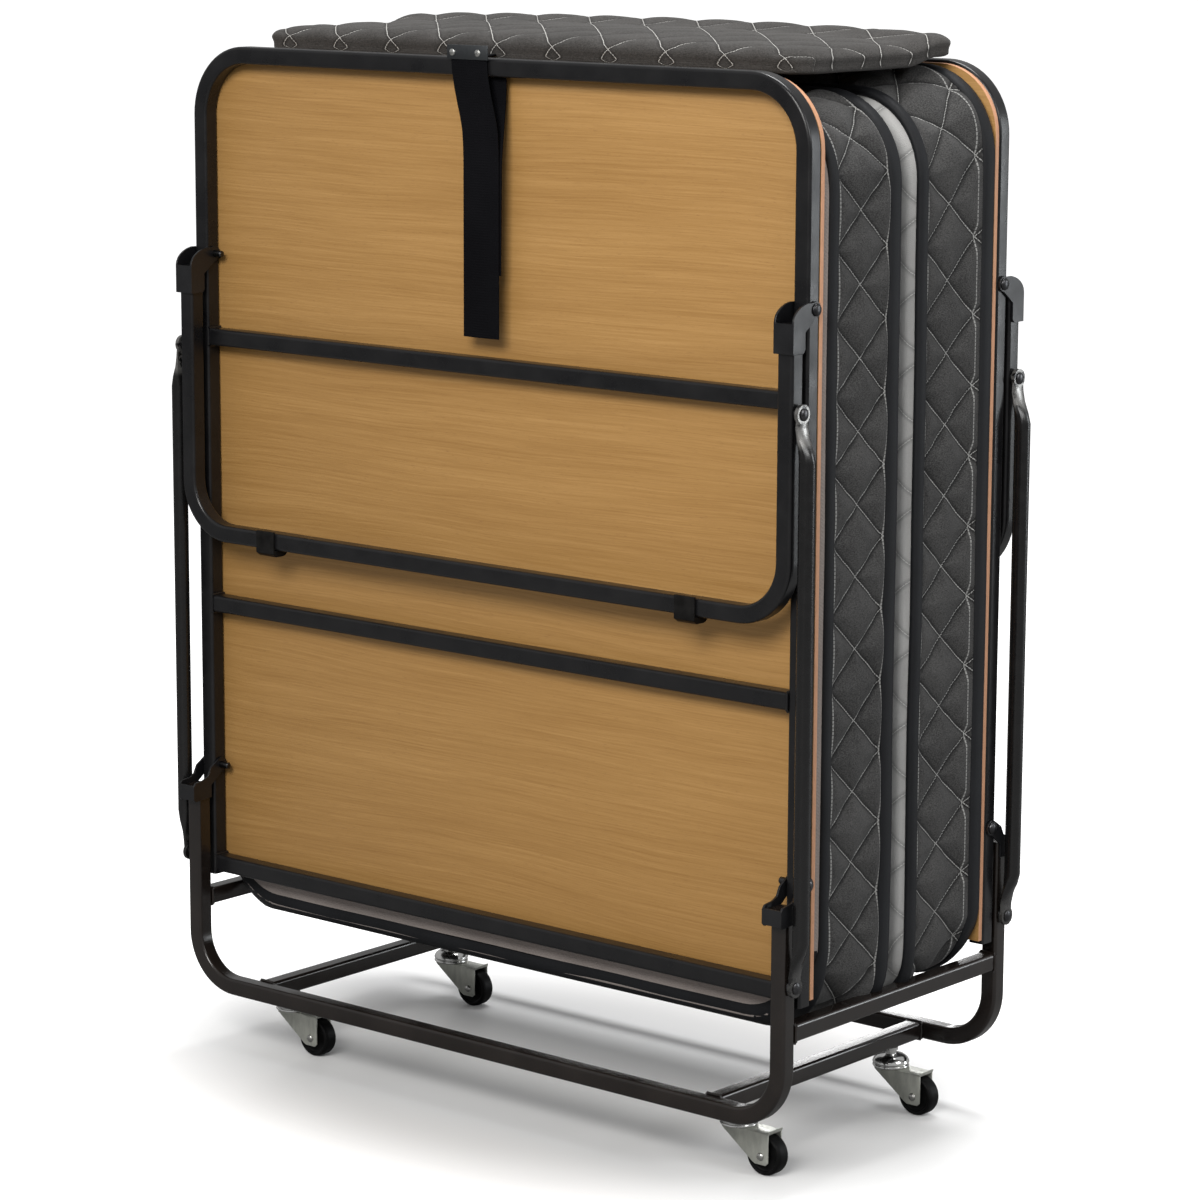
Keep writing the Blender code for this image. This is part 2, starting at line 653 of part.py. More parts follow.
def headboard_bracket_mesh():
    """An angle on the rear rail's top tube, turned down over its outer face."""
    face = RAIL_Y + TUBE / 2 + GAP
    top = RAIL_TOP + GAP
    sheet = 0.0018
    outline = [(0.100, top), (face, top), (face, RAIL_TOP - 0.022), (face + sheet, RAIL_TOP - 0.022),
               (face + sheet, top + sheet), (0.100, top + sheet)]
    return plate_mesh("angle", outline, "X", -0.260, 0.260)


def strap_plate(paint, parent, origin):
    """A small angle that leaves the pad's front seam and holds the strap with two rivets."""
    back = PLATE_Y + PLATE_THICK
    low, high = PLATE_Z
    outline = [(PLATE_Y, low), (back, low), (back, high - PLATE_THICK),
               (PAD_FRONT - GAP, high - PLATE_THICK), (PAD_FRONT - GAP, high), (PLATE_Y, high)]
    item = add_object("strap_plate", plate_mesh("plate", outline, "X", *PLATE_X),
                      paint["bracket"], origin, parent)
    middle = sum(PLATE_X) / 2
    for side in (-1, 1):
        centre = (middle + side * 0.0185, PLATE_Y, (low + high) / 2)
        profile = [(0, -0.0018), (0.0022, -0.0015), (0.0036, 0.0), (0.0036, 0.0008), (0, 0.0008)]
        combine(item, lathe_mesh("rivet", profile, centre, "Y", 12), "UNION")
    item.data.materials.clear()
    item.data.materials.append(paint["bracket"])
    return item


def build_headboard(half, paint):
    here = (0, RAIL_Y, FOLD_Z)
    add_object("headboard_pad", pad_mesh(), paint["pad"], here, half)
    add_object("headboard_bracket", headboard_bracket_mesh(), paint["bracket"], here, half)
    strap_plate(paint, half, here)
    front_face = PLATE_Y + PLATE_THICK + GAP
    hinge = (sum(STRAP_X) / 2, front_face + STRAP_THICK / 2, PLATE_Z[0] - 2 * GAP)
    pivot = add_pivot("strap_axis", hinge, half)
    outline = [(front_face, STRAP_BOTTOM), (front_face + STRAP_THICK, STRAP_BOTTOM),
               (front_face + STRAP_THICK, hinge[2]), (front_face, hinge[2])]
    add_object("closing_strap", plate_mesh("strap", outline, "X", *STRAP_X), paint["strap"],
               hinge, pivot)


# ---- the whole cot ---------------------------------------------------------------------------

def main():
    clear_scene()
    paint = make_materials()
    base = build_base(paint)
    halves = {}
    for word, front in (("front", -1), ("rear", 1)):
        halves[word] = build_half(word, front, base, paint)
        build_leg(word, front, halves[word], paint)
        for side, label in ((-1, "left"), (1, "right")):
            build_link(f"{word}_link_{label}", side, front, base, paint)
    build_casters(base, paint)
    build_headboard(halves["rear"], paint)


main()
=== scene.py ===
import json
import math

import bmesh
import bpy
import numpy as np
from mathutils import Matrix, Vector, noise

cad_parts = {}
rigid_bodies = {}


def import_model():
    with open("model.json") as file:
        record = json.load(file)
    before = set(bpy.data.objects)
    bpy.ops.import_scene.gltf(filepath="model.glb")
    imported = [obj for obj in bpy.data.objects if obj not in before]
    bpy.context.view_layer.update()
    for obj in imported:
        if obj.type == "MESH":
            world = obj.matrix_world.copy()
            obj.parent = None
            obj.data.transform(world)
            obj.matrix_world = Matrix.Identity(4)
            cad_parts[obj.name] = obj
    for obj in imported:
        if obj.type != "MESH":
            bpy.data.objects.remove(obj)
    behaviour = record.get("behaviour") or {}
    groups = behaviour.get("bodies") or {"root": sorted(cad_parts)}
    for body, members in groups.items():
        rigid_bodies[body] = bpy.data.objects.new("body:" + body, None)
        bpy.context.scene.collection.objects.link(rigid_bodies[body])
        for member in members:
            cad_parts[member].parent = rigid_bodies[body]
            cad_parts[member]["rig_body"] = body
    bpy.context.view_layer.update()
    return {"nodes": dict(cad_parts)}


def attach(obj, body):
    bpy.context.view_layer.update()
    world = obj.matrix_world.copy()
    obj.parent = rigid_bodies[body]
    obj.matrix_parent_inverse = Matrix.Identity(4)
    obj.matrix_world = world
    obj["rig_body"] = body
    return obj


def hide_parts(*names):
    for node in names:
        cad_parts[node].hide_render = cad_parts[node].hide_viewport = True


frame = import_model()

print("folding cot: frame loaded,", len(frame["nodes"]), "parts")

xAxis, yAxis, zAxis = Vector((1, 0, 0)), Vector((0, 1, 0)), Vector((0, 0, 1))
halves = (("front", -1), ("rear", 1))
sides = (("left", -1), ("right", 1))

# tube frame sizes shared by several pieces, in metres
cot = {
    "tube": 0.020, "tubeCorner": 0.0036,
    "tubeX": 0.440, "railY": 0.1705, "legY": 0.1965,
    "foldZ": 0.342, "legPivotZ": 0.954, "linkDrop": 0.106,
}


# ---- shader helpers

def put(tree, kind, inputs=None, **settings):
    node = tree.nodes.new(kind)
    for key, value in settings.items():
        setattr(node, key, value)
    for key, value in (inputs or {}).items():
        if isinstance(value, bpy.types.NodeSocket):
            tree.links.new(value, node.inputs[key])
        else:
            node.inputs[key].default_value = value
    return node


def maths(tree, operation, first, second=0.0, third=0.0):
    return put(tree, "ShaderNodeMath", {0: first, 1: second, 2: third},
               operation=operation).outputs[0]


def times(tree, first, second):
    return maths(tree, "MULTIPLY", first, second)


def mixColour(tree, factor, first, second):
    # a plain colour comes as red, green and blue
    first, second = ((*c, 1) if isinstance(c, tuple) else c for c in (first, second))
    return put(tree, "ShaderNodeMix", {"Factor": factor, 6: first, 7: second},
               data_type="RGBA").outputs[2]


def spread(tree, value, low, high, toLow=0.0, toHigh=1.0, smooth=False):
    return put(tree, "ShaderNodeMapRange", {"Value": value, "From Min": low, "From Max": high,
                                            "To Min": toLow, "To Max": toHigh},
               interpolation_type="SMOOTHSTEP" if smooth else "LINEAR").outputs["Result"]


def stretched(tree, vector, scale):
    return put(tree, "ShaderNodeMapping", {"Vector": vector, "Scale": scale}).outputs["Vector"]


def noiseOf(tree, vector, scale, detail=3.0, rough=0.55):
    return put(tree, "ShaderNodeTexNoise", {"Vector": vector, "Scale": scale, "Detail": detail,
                                            "Roughness": rough}).outputs["Fac"]


def newGroup(name, inputs, outputs):
    tree = bpy.data.node_groups.new(name, "ShaderNodeTree")
    for label, kind, value in inputs:
        socket = tree.interface.new_socket(label, in_out="INPUT", socket_type=kind)
        if value is not None:
            socket.default_value = value
    for label, kind in outputs:
        tree.interface.new_socket(label, in_out="OUTPUT", socket_type=kind)
    return tree, put(tree, "NodeGroupInput"), put(tree, "NodeGroupOutput")


def newMaterial(name, roughness, metallic=0.0, specular=0.5, sheen=0.0):
    material = bpy.data.materials.new(name)
    material.use_nodes = True
    tree = material.node_tree
    shader = tree.nodes["Principled BSDF"]
    for key, value in (("Roughness", roughness), ("Metallic", metallic),
                       ("Specular IOR Level", specular), ("Sheen Weight", sheen)):
        shader.inputs[key].default_value = value
    where = put(tree, "ShaderNodeTexCoord").outputs["Object"]
    return material, tree, shader, where


def place(tree, group, inputs):
    return put(tree, "ShaderNodeGroup", inputs, node_tree=group)


def bumped(tree, shader, height, distance, strength):
    node = put(tree, "ShaderNodeBump", {"Height": height, "Distance": distance,
                                        "Strength": strength})
    tree.links.new(node.outputs["Normal"], shader.inputs["Normal"])


# ---- node groups

def mottleGroup():
    tree, into, out = newGroup(
        "mottle", [("Vector", "NodeSocketVector", None), ("Scale", "NodeSocketFloat", 30.0)],
        [("Tone", "NodeSocketFloat"), ("Peel", "NodeSocketFloat"), ("Dust", "NodeSocketFloat")])
    vector, scale = into.outputs["Vector"], into.outputs["Scale"]
    broad = noiseOf(tree, vector, scale, 4.0)
    peel = noiseOf(tree, vector, 900.0, 1.0)
    specks = put(tree, "ShaderNodeTexVoronoi", {"Vector": vector, "Scale": 260.0})
    tree.links.new(spread(tree, broad, 0.32, 0.70), out.inputs["Tone"])
    tree.links.new(peel, out.inputs["Peel"])
    tree.links.new(spread(tree, specks.outputs["Distance"], 0.16, 0.05, smooth=True),
                   out.inputs["Dust"])
    return tree


def weaveGroup():
    tree, into, out = newGroup(
        "weave", [("Vector", "NodeSocketVector", None), ("Pitch", "NodeSocketFloat", 900.0)],
        [("Height", "NodeSocketFloat"), ("Fleck", "NodeSocketFloat")])
    vector, pitch = into.outputs["Vector"], into.outputs["Pitch"]
    parts = put(tree, "ShaderNodeSeparateXYZ", {"Vector": vector})
    waves = [maths(tree, "SINE", times(tree, parts.outputs[label], pitch)) for label in "XYZ"]
    cross = times(tree, waves[0], waves[2])
    cross = maths(tree, "MULTIPLY_ADD", waves[1], waves[2], cross)
    fibre = noiseOf(tree, vector, 1500.0, 2.0)
    height = maths(tree, "MULTIPLY_ADD", fibre, 1.2, cross)
    fleck = noiseOf(tree, stretched(tree, vector, (1.0, 1.0, 2.2)), 520.0, 3.0, 0.75)
    tree.links.new(spread(tree, height, -1.0, 2.0), out.inputs["Height"])
    tree.links.new(spread(tree, fleck, 0.36, 0.66), out.inputs["Fleck"])
    return tree


edgeStitch = 0.487  # how far across a border its edge stitch runs
plainEdge = 100  # added to a face's places across, it keeps the edge stitch off that face


def seamGroup():
    # Cell is (place along, place across, quilted or not). Seams lie where the sum or the
    # difference of the first two is whole
    tree, into, out = newGroup(
        "quiltSeams", [("Cell", "NodeSocketVector", None), ("Width", "NodeSocketFloat", 0.011),
                       ("Dashes", "NodeSocketFloat", 11.0)],
        [("Thread", "NodeSocketFloat"), ("Valley", "NodeSocketFloat")])
    parts = put(tree, "ShaderNodeSeparateXYZ", {"Vector": into.outputs["Cell"]})
    along, across, quilted = (parts.outputs[k] for k in "XYZ")
    wander = maths(tree, "SUBTRACT", noiseOf(tree, into.outputs["Cell"], 7.0, 1.0), 0.5)
    threadWidth = into.outputs["Width"]
    threads, nearest = [], []
    for operation, other in (("ADD", "SUBTRACT"), ("SUBTRACT", "ADD")):
        line = maths(tree, "MULTIPLY_ADD", wander, 0.018, maths(tree, operation, along, across))
        off = maths(tree, "PINGPONG", line, 0.5)
        run = times(tree, maths(tree, other, along, across), into.outputs["Dashes"])
        dash = spread(tree, maths(tree, "PINGPONG", run, 0.5), 0.04, 0.13, smooth=True)
        drawn = spread(tree, off, threadWidth, times(tree, threadWidth, 0.45), smooth=True)
        threads.append(times(tree, drawn, dash))
        nearest.append(off)
    thread = times(tree, maths(tree, "MAXIMUM", *threads), quilted)
    near = maths(tree, "MINIMUM", *nearest)
    # the valley mask runs beside each seam; the quilted materials darken it as painted shade
    valley = times(tree, spread(tree, near, 0.085, 0.0, smooth=True), quilted)
    rim = maths(tree, "SUBTRACT", maths(tree, "ABSOLUTE", across), edgeStitch)
    run = maths(tree, "PINGPONG", times(tree, along, 19.0), 0.5)
    stitch = times(tree, spread(tree, maths(tree, "ABSOLUTE", rim), 0.013, 0.006),
                   spread(tree, run, 0.06, 0.14))
    thread = maths(tree, "MAXIMUM", thread, times(tree, stitch, 0.8))
    tree.links.new(thread, out.inputs["Thread"])
    tree.links.new(valley, out.inputs["Valley"])
    return tree


mottle, weave, seams = mottleGroup(), weaveGroup(), seamGroup()


# ---- materials

surfaces = {  # mottle scale, roughness under and over the one given, depth and strength of the peel
    "paint": {"scale": 26.0, "under": 0.05, "over": 0.07, "depth": 0.00012, "strength": 0.35},
    "metal": {"scale": 95.0, "under": 0.06, "over": 0.16, "depth": 0.0001, "strength": 0.4},
    "plastic": {"scale": 80.0, "under": 0.06, "over": 0.08, "depth": 0.0002, "strength": 0.4},
}


def mottledMaterial(name, kind, colour, shade, rough, specular=0.5, metallic=0.0, stretch=None):
    surface = surfaces[kind]
    material, tree, shader, where = newMaterial(name, rough, metallic, specular)
    vector = stretched(tree, where, stretch) if stretch else where
    marks = place(tree, mottle, {"Vector": vector, "Scale": surface["scale"]})
    tone = marks.outputs["Tone"]
    base = mixColour(tree, tone, colour, shade)
    if kind == "paint":
        base = mixColour(tree, times(tree, marks.outputs["Dust"], 0.10), base, (0.12, 0.12, 0.12))
    tree.links.new(base, shader.inputs["Base Color"])
    roughness = spread(tree, tone, 0.0, 1.0, rough - surface["under"], rough + surface["over"])
    tree.links.new(roughness, shader.inputs["Roughness"])
    bumped(tree, shader, marks.outputs["Peel"], surface["depth"], surface["strength"])
    return material


def paintMaterial(name, colour, shade, rough, specular=0.45):
    return mottledMaterial(name, "paint", colour, shade, rough, specular)


def metalMaterial(name, colour, stain, rough, stretch=None, metallic=1.0):
    return mottledMaterial(name, "metal", colour, stain, rough, 0.5, metallic, stretch)


def plasticMaterial(name, colour, rough):
    lighter = tuple(min(1.0, c * 1.7 + 0.004) for c in colour)
    return mottledMaterial(name, "plastic", colour, lighter, rough, 0.10)


def wornLinkMaterial():
    # black tube whose pressed ends have lost their paint down to bright steel
    material, tree, shader, where = newMaterial("linkPaint", 0.3, specular=0.5)
    marks = place(tree, mottle, {"Vector": where, "Scale": 70.0})
    height = put(tree, "ShaderNodeSeparateXYZ", {"Vector": where}).outputs["Z"]
    upperZ = cot["legPivotZ"] - cot["linkDrop"]
    lowerZ = cot["foldZ"] - cot["linkDrop"]
    upper = spread(tree, height, upperZ - 0.038, upperZ - 0.022, smooth=True)
    lower = spread(tree, height, lowerZ + 0.026, lowerZ + 0.010, smooth=True)
    bare = times(tree, maths(tree, "MAXIMUM", upper, times(tree, lower, 0.16)),
                 spread(tree, marks.outputs["Tone"], 0.15, 0.50))
    base = mixColour(tree, bare, (0.0050, 0.0048, 0.0050), (0.27, 0.265, 0.255))
    tree.links.new(base, shader.inputs["Base Color"])
    tree.links.new(bare, shader.inputs["Metallic"])
    tree.links.new(spread(tree, marks.outputs["Tone"], 0, 1, 0.20, 0.34),
                   shader.inputs["Roughness"])
    bumped(tree, shader, marks.outputs["Peel"], 0.00015, 0.4)
    return material


def beechMaterial():
    material, tree, shader, where = newMaterial("beechFoil", 0.42, specular=0.35)
    warp = noiseOf(tree, stretched(tree, where, (0.9, 1, 2.4)), 2.0, 2.0)
    lift = put(tree, "ShaderNodeCombineXYZ", {"Z": times(tree, warp, 0.035)}).outputs[0]
    bent = put(tree, "ShaderNodeVectorMath", {0: where, 1: lift}, operation="ADD").outputs[0]
    broad = noiseOf(tree, stretched(tree, bent, (0.8, 1, 13.0)), 3.0, 3.0)
    streak = noiseOf(tree, stretched(tree, bent, (1.5, 1, 120.0)), 4.5, 5.0, 0.66)
    fine = noiseOf(tree, stretched(tree, bent, (9.0, 1, 300.0)), 5.0, 3.0, 0.6)
    fleck = noiseOf(tree, stretched(tree, bent, (30.0, 1, 330.0)), 4.0, 1.0)
    tone = maths(tree, "MULTIPLY_ADD", streak, 0.68, times(tree, broad, 0.32))
    base = put(tree, "ShaderNodeValToRGB", {"Fac": spread(tree, tone, 0.34, 0.66)})
    stops = base.color_ramp.elements
    stops[0].color = (0.345, 0.182, 0.054, 1)
    stops[1].color = (0.475, 0.270, 0.094, 1)
    stops.new(0.5).color = (0.410, 0.226, 0.073, 1)
    thin = times(tree, spread(tree, fine, 0.52, 0.72), 0.30)
    colour = mixColour(tree, thin, base.outputs["Color"], (0.30, 0.155, 0.052))
    dots = times(tree, spread(tree, fleck, 0.66, 0.76), 0.35)
    colour = mixColour(tree, dots, colour, (0.24, 0.115, 0.040))
    tree.links.new(colour, shader.inputs["Base Color"])
    tree.links.new(spread(tree, streak, 0.3, 0.7, 0.38, 0.50), shader.inputs["Roughness"])
    bumped(tree, shader, maths(tree, "ADD", fine, fleck), 0.00012, 0.5)
    return material


def plyEdgeMaterial():
    material, tree, shader, where = newMaterial("boardEdge", 0.55, specular=0.3)
    layers = noiseOf(tree, stretched(tree, where, (30, 500, 30)), 2.0, 3.0)
    chips = noiseOf(tree, stretched(tree, where, (300, 300, 90)), 3.0, 3.0)
    colour = mixColour(tree, spread(tree, layers, 0.3, 0.7), (0.66, 0.34, 0.20), (0.48, 0.25, 0.14))
    chipped = times(tree, spread(tree, chips, 0.5, 0.75), 0.35)
    colour = mixColour(tree, chipped, colour, (0.30, 0.15, 0.08))
    tree.links.new(colour, shader.inputs["Base Color"])
    bumped(tree, shader, chips, 0.0003, 0.5)
    return material


def quiltedMaterial(name, colour, light, thread, paintedValleyShade, fleckAmount):
    material, tree, shader, where = newMaterial(name, 0.92, specular=0.12, sheen=0.06)
    cell = put(tree, "ShaderNodeAttribute", attribute_name="cell").outputs["Vector"]
    cloth = place(tree, weave, {"Vector": where, "Pitch": 2600.0})
    lines = place(tree, seams, {"Cell": cell, "Width": 0.0115, "Dashes": 15.0})
    patches = noiseOf(tree, where, 9.0, 3.0)
    fleck = times(tree, cloth.outputs["Fleck"], fleckAmount)
    tone = maths(tree, "MULTIPLY_ADD", spread(tree, patches, 0.3, 0.7), 0.35, fleck)
    base = mixColour(tree, tone, colour, light)
    # painted shade: the seam valleys are darkened towards a shade colour
    base = mixColour(tree, times(tree, lines.outputs["Valley"], 0.72), base, paintedValleyShade)
    base = mixColour(tree, lines.outputs["Thread"], base, thread)
    tree.links.new(base, shader.inputs["Base Color"])
    height = maths(tree, "MULTIPLY_ADD", lines.outputs["Thread"], 1.6, cloth.outputs["Height"])
    bumped(tree, shader, height, 0.0004, 0.55)
    return material


def clothMaterial(name, colour, light, pitch, rough, sheen, bump, specular=0.25):
    material, tree, shader, where = newMaterial(name, rough, specular=specular, sheen=sheen)
    cloth = place(tree, weave, {"Vector": where, "Pitch": pitch})
    patches = noiseOf(tree, where, 14.0, 4.0)
    tone = maths(tree, "MULTIPLY_ADD", spread(tree, patches, 0.3, 0.7), 0.5,
                 times(tree, cloth.outputs["Fleck"], 0.5))
    tree.links.new(mixColour(tree, tone, colour, light), shader.inputs["Base Color"])
    bumped(tree, shader, cloth.outputs["Height"], 0.0004, bump)
    return material


finishes = {
    "frame": paintMaterial("framePaint", (0.0050, 0.0050, 0.0058), (0.0085, 0.0083, 0.0090),
                           0.30, 0.40),
    "base": paintMaterial("basePaint", (0.0090, 0.0066, 0.0055), (0.0150, 0.0112, 0.0094),
                          0.20, 0.55),
    "bracket": paintMaterial("bracketPaint", (0.0055, 0.0055, 0.0065), (0.0090, 0.0092, 0.0105),
                             0.34),
    "link": wornLinkMaterial(),
    "bolt": metalMaterial("boltSteel", (0.085, 0.085, 0.088), (0.030, 0.030, 0.032), 0.30),
    "bright": metalMaterial("brightZinc", (0.62, 0.62, 0.60), (0.42, 0.42, 0.40), 0.24),
    "chrome": metalMaterial("chromeRace", (0.74, 0.74, 0.73), (0.56, 0.56, 0.55), 0.15),
    "zinc": metalMaterial("zincFork", (0.62, 0.63, 0.57), (0.42, 0.43, 0.39), 0.34,
                          (1, 1, 0.35), 0.6),
    "plate": metalMaterial("plateSteel", (0.10, 0.105, 0.11), (0.065, 0.07, 0.075), 0.42),
    "beech": beechMaterial(),
    "edge": plyEdgeMaterial(),
    "cover": quiltedMaterial("charcoalQuilt", (0.009, 0.009, 0.0095), (0.076, 0.075, 0.074),
                             (0.34, 0.34, 0.33), (0.0030, 0.0030, 0.0035), 0.95),
    "top": quiltedMaterial("headboardQuilt", (0.020, 0.019, 0.0178), (0.074, 0.070, 0.067),
                           (0.46, 0.45, 0.43), (0.014, 0.013, 0.012), 0.8),
    "sleep": quiltedMaterial("silverQuilt", (0.47, 0.47, 0.465), (0.60, 0.60, 0.59),
                             (0.66, 0.66, 0.65), (0.27, 0.27, 0.27), 0.35),
    "felt": clothMaterial("underFelt", (0.235, 0.205, 0.190), (0.33, 0.29, 0.27),
                          1500.0, 0.95, 0.1, 0.8),
    "tape": clothMaterial("bindingTape", (0.0052, 0.0056, 0.0068), (0.0120, 0.0128, 0.0150),
                          3800.0, 0.60, 0.0, 0.35, 0.22),
    "webbing": clothMaterial("strapWebbing", (0.0022, 0.0022, 0.0030), (0.0062, 0.0062, 0.0076),
                             2200.0, 0.85, 0.0, 0.9, 0.06),
    "foot": plasticMaterial("footPlastic", (0.0045, 0.0042, 0.0040), 0.50),
    "wheel": plasticMaterial("wheelPlastic", (0.0022, 0.0022, 0.0023), 0.45),
}
print("materials:", len(finishes))


# ---- mesh helpers

def newObject(name, data):
    made = bpy.data.objects.new(name, data)
    bpy.context.scene.collection.objects.link(made)
    return made


def newMesh(name, bm):
    mesh = bpy.data.meshes.new(name)
    bm.to_mesh(mesh)
    bm.free()
    return newObject(name, mesh)


def addPiece(name, bm, body, materials, stands=(), angle=40, weighted=False):
    piece = newMesh(name, bm)
    mesh = piece.data
    for material in materials if isinstance(materials, list) else [materials]:
        mesh.materials.append(material)
    mesh.shade_smooth()
    mesh.set_sharp_from_angle(angle=math.radians(angle))
    if weighted:
        piece.modifiers.new("evenShading", "WEIGHTED_NORMAL").keep_sharp = True
    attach(piece, body)
    if stands:
        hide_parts(*stands)
    return piece


def sectionRing(centre, across, up, halfWidth, halfHeight, corner, steps=4):
    # points of a rounded rectangle in the plane of two directions
    points = []
    for number, (signX, signY) in enumerate(((1, 1), (-1, 1), (-1, -1), (1, -1))):
        middle = centre + across * signX * (halfWidth - corner) + up * signY * (halfHeight - corner)
        for step in range(steps + 1):
            turn = math.radians(90 * (number + step / steps))
            points.append(middle + (across * math.cos(turn) + up * math.sin(turn)) * corner)
    return points


def runSection(bm, ring, moves, capped=True):
    # moves are ("go", vector) or ("turn", centre, axis, degrees, steps)
    corners = [bm.verts.new(point) for point in ring]
    edges = [bm.edges.new((a, b)) for a, b in zip(corners, corners[1:] + corners[:1])]
    if capped:
        bm.faces.new(corners)
    for move in moves:
        if move[0] == "go":
            made = bmesh.ops.extrude_edge_only(bm, edges=edges)["geom"]
            edges = [e for e in made if isinstance(e, bmesh.types.BMEdge)]
            moved = list({v for e in edges for v in e.verts})
            edges = [e for e in edges if e.is_boundary]
            bmesh.ops.translate(bm, verts=moved, vec=move[1])
        else:
            made = bmesh.ops.spin(bm, geom=edges + list({v for e in edges for v in e.verts}),
                                  cent=move[1], axis=move[2], angle=math.radians(move[3]),
                                  steps=move[4], use_duplicate=False, use_merge=False)["geom_last"]
            edges = [e for e in made if isinstance(e, bmesh.types.BMEdge)]
    if capped:
        bmesh.ops.holes_fill(bm, edges=edges, sides=0)
    bmesh.ops.remove_doubles(bm, verts=bm.verts, dist=1e-6)
    bmesh.ops.recalc_face_normals(bm, faces=bm.faces)
    return bm


def turnProfile(bm, profile, centre, axis, steps=32):
    # spins (radius, along) points a full turn round the axis through the centre
    across = axis.orthogonal().normalized()
    verts = [bm.verts.new(Vector(centre) + axis * along + across * radius)
             for radius, along in profile]
    edges = [bm.edges.new(pair) for pair in zip(verts, verts[1:])]
    bmesh.ops.spin(bm, geom=verts + edges, cent=centre, axis=axis, angle=2 * math.pi, steps=steps,
                   use_duplicate=False, use_merge=True)
    bmesh.ops.remove_doubles(bm, verts=bm.verts, dist=2e-6)
    bmesh.ops.recalc_face_normals(bm, faces=bm.faces)
    return bm


def softEdges(bm, width, angle, segments=2):
    sharp = [e for e in bm.edges
             if len(e.link_faces) == 2 and e.calc_face_angle(0) > math.radians(angle)]
    bmesh.ops.bevel(bm, geom=sharp, affect="EDGES", offset=width, segments=segments, profile=0.5,
                    material=-1, clamp_overlap=True)


def drawOut(bm, faces, thickness):
    # a slab from flat faces
    made = bmesh.ops.extrude_face_region(bm, geom=faces)["geom"]
    bmesh.ops.translate(bm, verts=[v for v in made if isinstance(v, bmesh.types.BMVert)],
                        vec=thickness)
    bmesh.ops.recalc_face_normals(bm, faces=bm.faces)


def plateShell(bm, outline, low, high):
    # a flat plate from an outline in x and z, between two y
    face = bm.faces.new([bm.verts.new((x, low, z)) for x, z in outline])
    drawOut(bm, [face], (0, high - low, 0))


def dressNode(node, material, bevel=0.0006, angle=35):
    # a merged copy of a CAD solid, with softened edges
    source = frame["nodes"][node]
    bm = bmesh.new()
    bm.from_mesh(source.data)
    bmesh.ops.remove_doubles(bm, verts=bm.verts, dist=5e-6)
    bmesh.ops.dissolve_limit(bm, angle_limit=math.radians(1), verts=bm.verts, edges=bm.edges)
    piece = addPiece(node + "_shown", bm, source["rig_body"], material, [node], angle)
    if bevel:
        edge = piece.modifiers.new("softEdge", "BEVEL")
        edge.width = bevel
        edge.segments = 2
        edge.limit_method = "ANGLE"
        edge.angle_limit = math.radians(angle)
        edge.harden_normals = False
    piece.modifiers.new("evenShading", "WEIGHTED_NORMAL").keep_sharp = False
    return piece


# ---- square tube frames

def tubeRing(x, y, z, across=xAxis, up=yAxis):
    half = cot["tube"] / 2
    return sectionRing(Vector((x, y, z)), across, up, half, half, cot["tubeCorner"])


def bentTube(name, body, material, y, endZ, crossZ, bend, node):
    # a U of square tube in the plane y; its sides run from crossZ to endZ
    up = endZ > crossZ
    turn = -90 if up else 90
    centreZ = crossZ + bend if up else crossZ - bend
    straight = Vector((0, 0, centreZ - endZ))
    x = cot["tubeX"]
    bm = runSection(bmesh.new(), tubeRing(-x, y, endZ), [
        ("go", straight), ("turn", (bend - x, y, centreZ), yAxis, turn, 16),
        ("go", Vector((2 * (x - bend), 0, 0))), ("turn", (x - bend, y, centreZ), yAxis, turn, 16),
        ("go", -straight)])
    return addPiece(name, bm, body, material, [node], 60, weighted=True)


def straightTube(name, body, material, start, end, node):
    start, end = Vector(start), Vector(end)
    along = (end - start).normalized()
    across = yAxis if abs(along.x) > 0.5 else xAxis
    bm = runSection(bmesh.new(), tubeRing(*start, across, zAxis), [("go", end - start)])
    return addPiece(name, bm, body, material, [node], 60, weighted=True)


rails = {"bottom": 0.208, "crossZ": 1.186, "bend": 0.070, "reach": 0.4297,
         "bars": {"upper": 0.857, "middle": 0.539, "lower": 0.222}}
legs = {"end": 0.941, "crossZ": 0.6305, "bend": 0.060}
base = {"postTop": 0.3215, "crossZ": 0.0825, "bend": 0.060, "barReach": 0.1862, "upperZ": 0.182,
        "lowerX": 0.340}

for word, front in halves:
    railY, legY = front * cot["railY"], front * cot["legY"]
    bentTube(word + "_rail_tube", word + "_half", finishes["frame"], railY,
             rails["bottom"], rails["crossZ"], rails["bend"], word + "_rail")
    for label, z in rails["bars"].items():
        straightTube(f"{word}_bar_{label}", word + "_half", finishes["frame"],
                     (-rails["reach"], railY, z), (rails["reach"], railY, z),
                     f"{word}_crossbar_{label}")
    bentTube(word + "_leg_bow", word + "_leg", finishes["frame"], legY,
             legs["end"], legs["crossZ"], legs["bend"], word + "_leg_tube")
    bentTube(word + "_base_bow", "base", finishes["base"], legY,
             base["postTop"], base["crossZ"], base["bend"], f"base_{word}_tube")
for label, side in sides:
    reach = base["barReach"]
    for name, x, z, node in (("side", cot["tubeX"], base["upperZ"], "upper"),
                             ("runner", base["lowerX"], base["crossZ"], "lower")):
        straightTube(f"base_{name}_{label}", "base", finishes["base"],
                     (side * x, -reach, z), (side * x, reach, z), f"base_{node}_bar_{label}")
print("tubes done")


# ---- weld beads where bars meet tubes

